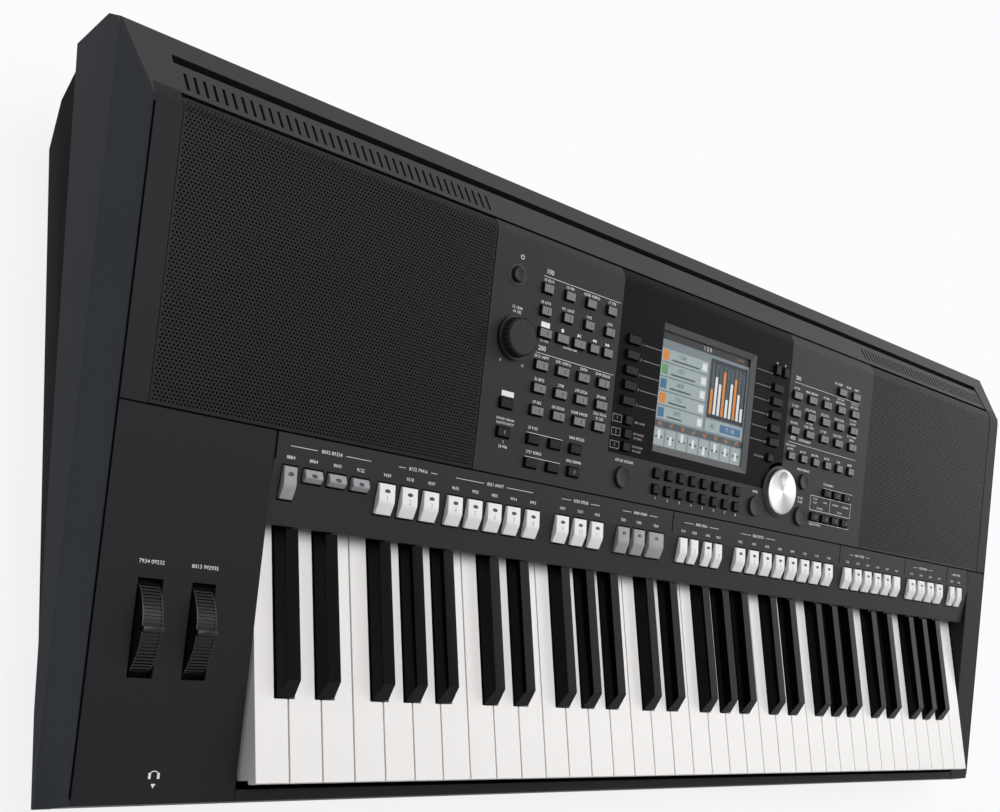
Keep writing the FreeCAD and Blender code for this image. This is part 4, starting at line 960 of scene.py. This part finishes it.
def tileNumber(tone, text, x, v, size):
    tinted(written(text, x, v, size, picture["top"] + 4 * picture["step"]), tone)


tile("teal", -57, 57, 41.5, 133.5, 0)
tile("black", -57, 57, 126.5, 133.5)
tileNumber("white", "1 2 0", 0, 129.6, 5)
tileNumber("orange", "4 / 4", 44, 129.6, 4)
for row, badge in enumerate(picture["badges"]):
    low = 109.5 - row * 11.3
    tile("pale", -55, 3, low, low + 10)
    tile(badge, -53.5, -46, low + 1.2, low + 8.8, 2)
    tileNumber("navy", str(1204 + 317 * row), -30, low + 6.4, 4.6)
    tile("slate", -42, -8 - 4 * row, low + 1.6, low + 3, 2)
    tile("white", -4.5, 1.5, low + 2, low + 8, 2)
tile("navy", 6, 55, 75.6, 124)
for column, high in enumerate(picture["bars"]):
    x = 8.6 + column * 5.1
    tile("slate", x, x + 3.2, 79, 120.5, 2)
    tile("white" if column % 3 else "orange", x, x + 3.2, 79, 79 + high, 3)
tile("pale", 6, 55, 64.3, 74.3)
tileNumber("navy", "61", 16, 69.3, 6)
tile("blue", 25, 52.5, 66, 72.6, 2)
tileNumber("white", "7 - 12", 38.7, 69.3, 4.6)
tile("slate", -57, 57, 57.5, 62.6)
for column, high in enumerate(picture["faders"]):
    x = -49 + column * 14
    tileNumber("orange", str(40 + 7 * column), x, 60, 4.4)
    tile("pale", x - 6.2, x + 6.2, 43, 56.6)
    tile("slate", x - 4.4, x + 4.4, 49, 50.6, 2)
    tile("white", x - 1.6, x + 1.6, 46.4 + high, 53.2 + high, 3)
shown = joined(tiles, "screenTiles")
thickened(shown, picture["thick"])
glassBack = block("screenBack", -picture["edge"], picture["edge"], bezel["low"], bezel["high"],
                  picture["bottom"], picture["top"] - picture["under"], 0.4)
settle(glassBack, onPanel, "case", "insertBlack", ["display_module"])
settle(shown, onPanel, "case", "litPicture")
print("screen lit")

# printing: numbers, rules and signs a hair above the panel
ink = {"lift": 0.02, "thick": 0.04, "line": 0.3, "frame": 0.35, "digit": 0.58,
       "digits": ((7919, 120345), (613, 40217), (97, 3021))}
printed = {"printWhite": [], "printGrey": []}
serials = itertools.count(2)
quarter = math.pi / 2


def rule(x0, x1, low, high, tone):
    printed[tone].append(block("rule", x0, x1, low, high, ink["lift"] - ink["thick"], ink["lift"]))


def outline(x0, x1, low, high, wide, tone):
    rule(x0, x1, low, low + wide, tone)
    rule(x0, x1, high - wide, high, tone)
    rule(x0, x0 + wide, low + wide, high - wide, tone)
    rule(x1 - wide, x1, low + wide, high - wide, tone)


def number(text, x, v, size, tone):
    printed[tone].append(written(text, x, v, size, ink["lift"] - ink["thick"] / 2, ink["thick"]))


# a row of digits as long as the word it stands for
def label(x0, x1, v, size, tone):
    serial = next(serials)
    count = max(1, round((x1 - x0) / (size * ink["digit"])))
    text = "".join(str(serial * step + start) for step, start in ink["digits"])[:count]
    if count > 5:
        text = text[:count // 2 - 1] + " " + text[count // 2:]
    number(text, (x0 + x1) / 2, v, size, tone)


def arrow(x, v, size, turnBy, tone):
    sign = drum("arrow", 3, size, ink["lift"] - ink["thick"], ink["lift"], x, v, turnBy)
    pickAll("EDGE")
    bevelEdges(size * 0.02, 1)
    objectMode()
    printed[tone].append(sign)


# a ring, open where gap says so
def hoop(x, v, radius, wide, gap, tone):
    middle = (x, v, ink["lift"])
    clearSelection()
    bpy.ops.mesh.primitive_circle_add(vertices=40, radius=radius, location=middle)
    sign = started("hoop")
    pickAll("EDGE")
    bpy.ops.mesh.extrude_edges_move()
    inner = 1 - wide / radius
    bpy.ops.transform.resize(value=(inner, inner, 1), center_override=middle)
    if gap:
        pick(sign, "FACE", lambda f: gap(f.center.x - x, f.center.y - v))
        bpy.ops.mesh.delete(type="FACE")
    thickened(sign, ink["thick"], 0)
    printed[tone].append(sign)


# lays one field: words by height and size, lines by their upper edge, bars by their corners
def lay(field, tone="printWhite"):
    for v, size, *words in field.get("words", ()):
        for x0, x1 in words:
            label(x0, x1, v, size, tone)
    for x0, x1, v in field.get("lines", ()):
        rule(x0, x1, v - ink["line"], v, tone)
    for corners in field.get("bars", ()):
        rule(*corners, tone)
    for text, x, v, size in field.get("numbers", ()):
        number(text, x, v, size, tone)
    for sign in field.get("arrows", ()):
        arrow(*sign, tone)
    for sign in field.get("hoops", ()):
        hoop(*sign, tone)


def centred(xs, widths):
    return [(x - wide / 2, x + wide / 2) for x, wide in zip(xs, widths)]


lay({
    "words": (
        (111.2, 3, (-220.4, -207.8)),
        (108.2, 3, (-219, -209.2)),
        (137, 3, (-192.6, -181), (-171, -160), (-153, -132.6), (-126, -116)),
        (121, 3, (-193.6, -182), (-173, -158), (-147, -140), (-124.6, -118)),
        (94, 2, (-191, -180), (-172, -147)),
        (82.5, 3, (-195, -178), (-174.6, -154.6), (-148, -139), (-133, -113)),
        (66.2, 3, (-192, -180.6), (-168, -161.6), (-152, -135.6), (-128, -116.6)),
        (50, 3, (-191.6, -181), (-172.6, -157.6), (-154, -132.6), (-127, -117)),
        (53.4, 3, (-131, -113)),
        (33, 2.3, (-225, -203.5)),
        (30, 2.3, (-226, -202)),
        (13.9, 3, (-219.6, -208.4)),
        (31.5, 2.9, (-193, -182)),
        (31.5, 3, (-152.6, -134)),
        (14.5, 2.9, (-193.6, -175)),
        (14.5, 3, (-154, -134)),
    ),
    "lines": ((-192.2, -111.7, 139.7), (-192.5, -112.1, 85.1), (-192.8, -157.6, 28.2),
              (-192.8, -157.6, 11.2)),
    "bars": ((-214.2, -213.8, 146.8, 148.8), (-190, -181.6, 103.8, 107.5), (-150.4, -149.9, 104.1, 106.9),
             (-220, -208.6, 48.8, 52.5), (-214.2, -213.8, 16.4, 18.4)),
    "numbers": (("0", -224.6, 72.5, 2.6), ("10", -204, 72.5, 2.6), ("100", -186.5, 143.2, 5),
                ("200", -186.8, 88.5, 5)),
    "arrows": ((-152.4, 105.5, 1.7, -quarter), (-136.2, 105.5, 1.5, quarter), (-134, 105.5, 1.5, quarter),
               (-122.7, 105.5, 1.5, -quarter), (-120.5, 105.5, 1.5, -quarter)),
    "hoops": ((-214, 146.8, 1.7, 0.4, lambda x, v: v > 0 and abs(x) < 0.6),  # power sign
              (-168.6, 105.5, 1.4, 1.1, None)),
})
print("left printing", len(printed["printWhite"]))

for row, v in enumerate(softV):
    lay({
        "numbers": ((str(row + 1), -83, v - 1, 3), (str(row + 6), 81.6, v - 1, 3)),
        "lines": ((-80.8, -61, v - 0.85), (61, 79.4, v - 0.85)),
    }, "printGrey")
for row, v in enumerate(selectV):
    outline(-108, -98, v - 2.8, v + 2.8, ink["line"], "printGrey")
    number(str(row + 1), -103, v, 3.2, "printGrey")
lay({
    "words": (
        (54.5, 2.3, (-85, -70)),
        (45.8, 2.3, (-85, -70)),
        (42.6, 2.3, (-84, -72)),
        (36, 2.3, (-85, -70)),
        (32.8, 2.3, (-84, -72)),
        (54.5, 2.5, (66.6, 82.6)),
    ),
    "lines": ((61, 84, 127.15),),
    "arrows": ((88.9, 137.2, 1.5, quarter), (100.8, 137.2, 1.5, -quarter)),
}, "printGrey")
lay({
    "words": ((23.4, 3, (-103, -78)), (23.9, 3, (71, 79))),
    "numbers": [(str(column + 1), x + 1.7, 0.9, 3) for column, x in enumerate(mixerX)],
})
print("middle printing", len(printed["printGrey"]))

lay({
    "words": (
        (138, 3, (176, 192), (195, 206), (210, 218)),
        (121.5, 3, *centred(voiceX, (11, 22, 12, 19, 16))),
        (106, 3, *centred(voiceX, (13, 19, 15, 19, 13))),
        (91, 3, *centred(voiceX, (14, 18, 12, 18, 9))),
        (124.6, 2.3, *centred(voiceX[3:], (14, 15))),
        (109.3, 2.3, *centred(voiceX[4:], (14,))),
        (94.2, 2.3, *centred(voiceX[1::3], (12, 19))),
        (77.8, 3.2, (128, 151)),
        (67.9, 3, *centred(effectX, (10, 11, 13.5, 10, 6.5, 9))),
        (71.1, 2.3, (111, 128)),
        (52.3, 3, (130, 153)),
        (27.4, 3, (136, 146)),
        (24.2, 3, (137, 145)),
        (44.8, 2.9, (172, 193)),
        (29.9, 2.3, (159.5, 168)),
        (26.7, 2.3, (159.5, 168)),
        (28.3, 2.3, (176, 184)),
        (22.2, 2.3, (166.5, 178)),
        (28.3, 2.3, (190, 202.5), (206, 220)),
        (22.2, 2.3, (199, 210)),
        (7, 3, (156, 178)),
    ),
    "lines": ((116.6, 222.1, 126.8), (115.6, 222.5, 74.1), (174.3, 222.7, 41.5), (157, 222, 9.3)),
    "bars": ((187.85, 188.15, 19.5, 32.8),),
    "numbers": (("300", 121.5, 130.6, 5), ("400", 121.5, 78, 5)),
})
outline(156.4, 222, 19.5, 32.8, ink["frame"], "printWhite")
print("right printing", len(printed["printWhite"]))

# headphone sign and wheel numbers on the cheek, then group names and cap names on the strip
lay({
    "words": ((-91.2, 3.2, (-470, -450.6)), (-91.1, 3.2, (-437.6, -417.6))),
    "bars": ((-447.4, -445.9, -210.6, -207.2), (-442.1, -440.6, -210.6, -207.2)),
    "arrows": ((-444, -214.2, 1.7, math.pi),),
    "hoops": ((-444, -209, 3, 0.5, lambda x, v: v < -0.4),),
})
stripPrint = {"groupV": -13.4, "capV": -20.4, "half": 9, "gap": 10.5, "capHalf": 3.6, "groups": (
    (-381, -322), (-300, -268), (-252, -181), (-152, -112), (-86, -46), (-13, 31),
    (61, 110), (228, 262), (344, 382), (421, 441))}
for x0, x1 in stripPrint["groups"]:
    middle = (x0 + x1) / 2
    lineTop = stripPrint["groupV"] + ink["line"] / 2
    lay({
        "words": ((stripPrint["groupV"], 3.2, (middle - stripPrint["half"], middle + stripPrint["half"])),),
        "lines": ((x0, middle - stripPrint["gap"], lineTop), (middle + stripPrint["gap"], x1, lineTop)),
    })
for group in stripRows.values():
    for x, wide, long in group["caps"]:
        label(x - stripPrint["capHalf"], x + stripPrint["capHalf"], stripPrint["capV"], 3, "printWhite")
for tone, marks in printed.items():
    settle(joined(marks, tone), onPanel, "case", tone)
print("printing laid")

# black strips in the joints between the shells: painted shade standing for the shadowed gaps
joint = {"deep": 0.5, "proud": 0.03, "wide": 1.1, "endX": 490.5, "crossDrop": 0.15, "front": 4, "ridge": 3,
         "fold": 2, "cross": 0.6, "strip": (-390.8, -27.2, 211.6, 327.4, 411.3, 453.9)}


# painted shade: a thin black strip standing for the shadow in a joint's gap
def seam(x0, x1, low, high):
    return block("seam", x0, x1, low, high, -joint["deep"], joint["proud"])


half = joint["wide"] / 2
crossMiddle = crossV - joint["crossDrop"]
shadedSeams = [seam(-joint["endX"], joint["endX"], crossMiddle - half, crossMiddle + half)]
for x in (-joint["endX"], joint["endX"]):
    shadedSeams.append(seam(x - half, x + half, frontV + joint["front"], ridgeV - joint["ridge"]))
for x in joint["strip"]:
    shadedSeams.append(seam(x - half, x + half, foldV + joint["fold"], crossV - joint["cross"]))
settle(joined(shadedSeams, "shellJoints"), onPanel, "case", "backCloth")
# painted shade: a black bar in the gap between the grille's roll and the vents, where shade falls
ridgeGap = {"halfX": 473.4, "lap": 0.5, "bottom": -3.4, "top": -1.8, "round": 0.2}
gapStart = (profile["rollEndY"] - profile["ridgeY"]) / math.cos(fall) - ridgeGap["lap"]
gapEnd = (profile["ventY"] - profile["ridgeY"]) / math.cos(fall) + ridgeGap["lap"]
shadowGap = block("ridgeGap", -ridgeGap["halfX"], ridgeGap["halfX"], gapStart, gapEnd, ridgeGap["bottom"],
                  ridgeGap["top"], ridgeGap["round"])
settle(shadowGap, onDeck, "case", "backCloth")
print("joints laid")

# stage, light and camera
floorLook = {"size": 14, "low": -0.0005, "tone": (0.9, 0.9, 0.9, 1), "dim": 0.98, "seen": 0.85}
clearSelection()
bpy.ops.mesh.primitive_plane_add(size=floorLook["size"], location=(0, 0, floorLook["low"]))
floor = started("floor")
paper = Finish("floorPaper", {"Roughness": 0.9, "Specular IOR Level": 0.1})
dim = shade(floorLook["tone"], floorLook["dim"])
paper.paint("Base Color", paper.blend(paper.noise(3), dim, floorLook["tone"]))
direct, mirrored, through = paper.rays()
seen = (direct + mirrored + through) * floorLook["seen"]
matt = Signal(paper, paper.shader.outputs[0])
white = paper.node("ShaderNodeEmission", None, {"Color": (1, 1, 1, 1), "Strength": 1})
mixed = paper.node("ShaderNodeMixShader", None, {0: seen, 1: matt, 2: white})
paper.feed(paper.tree.nodes["Material Output"].inputs["Surface"], mixed)
floor.data.materials.append(paper.material)

worldLight = {"ambient": 0.16, "seen": 1}
world = bpy.data.worlds.new("studio")
bpy.context.scene.world = world
world.use_nodes = True
sky = Nodes(world.node_tree)
direct, mirrored, through = sky.rays()
seen = direct.math("MAXIMUM", direct, direct.math("MAXIMUM", mirrored, through))
back = sky.tree.nodes["Background"]
back.inputs["Color"].default_value = (1, 1, 1, 1)
sky.feed(back.inputs["Strength"], seen * (worldLight["seen"] - worldLight["ambient"]) + worldLight["ambient"])

lamps = {
    "lampTop": {"at": (-0.35, 0.25, 2), "to": (0, -0.05, 0.1), "size": 1.7, "power": 33},
    "lampRight": {"at": (1.6, 0.45, 1.2), "to": (0.1, 0, 0.1), "size": 1.4, "power": 11},
}
for name, look in lamps.items():
    clearSelection()
    bpy.ops.object.light_add(type="AREA", location=look["at"])
    lamp = bpy.context.active_object
    lamp.name = name
    lamp.data.size = look["size"]
    lamp.data.energy = look["power"]
    lamp.rotation_euler = (Vector(look["to"]) - Vector(look["at"])).to_track_quat("-Z", "Y").to_euler()

view = {"lens": 47.378, "shiftX": -0.095, "shiftY": 0.15, "at": (-0.8144, -0.2508, 0.7459),
        "right": (0.68568, -0.06573, 0.72493), "up": (-0.10601, 0.97628, 0.18879),
        "back": (-0.72014, -0.2063, 0.66244)}
clearSelection()
bpy.ops.object.camera_add()
camera = bpy.context.active_object
camera.name = "photoView"
camera.data.lens = view["lens"]
camera.data.sensor_width = 36
camera.data.sensor_fit = "HORIZONTAL"
camera.data.shift_x = view["shiftX"]
camera.data.shift_y = view["shiftY"]
camera.data.clip_start = 0.01
turn = Matrix((view["right"], view["up"], view["back"])).transposed().to_4x4()
camera.matrix_world = Matrix.Translation(view["at"]) @ turn
bpy.context.scene.camera = camera
bpy.context.scene.view_settings.view_transform = "Standard"
print("stage set")
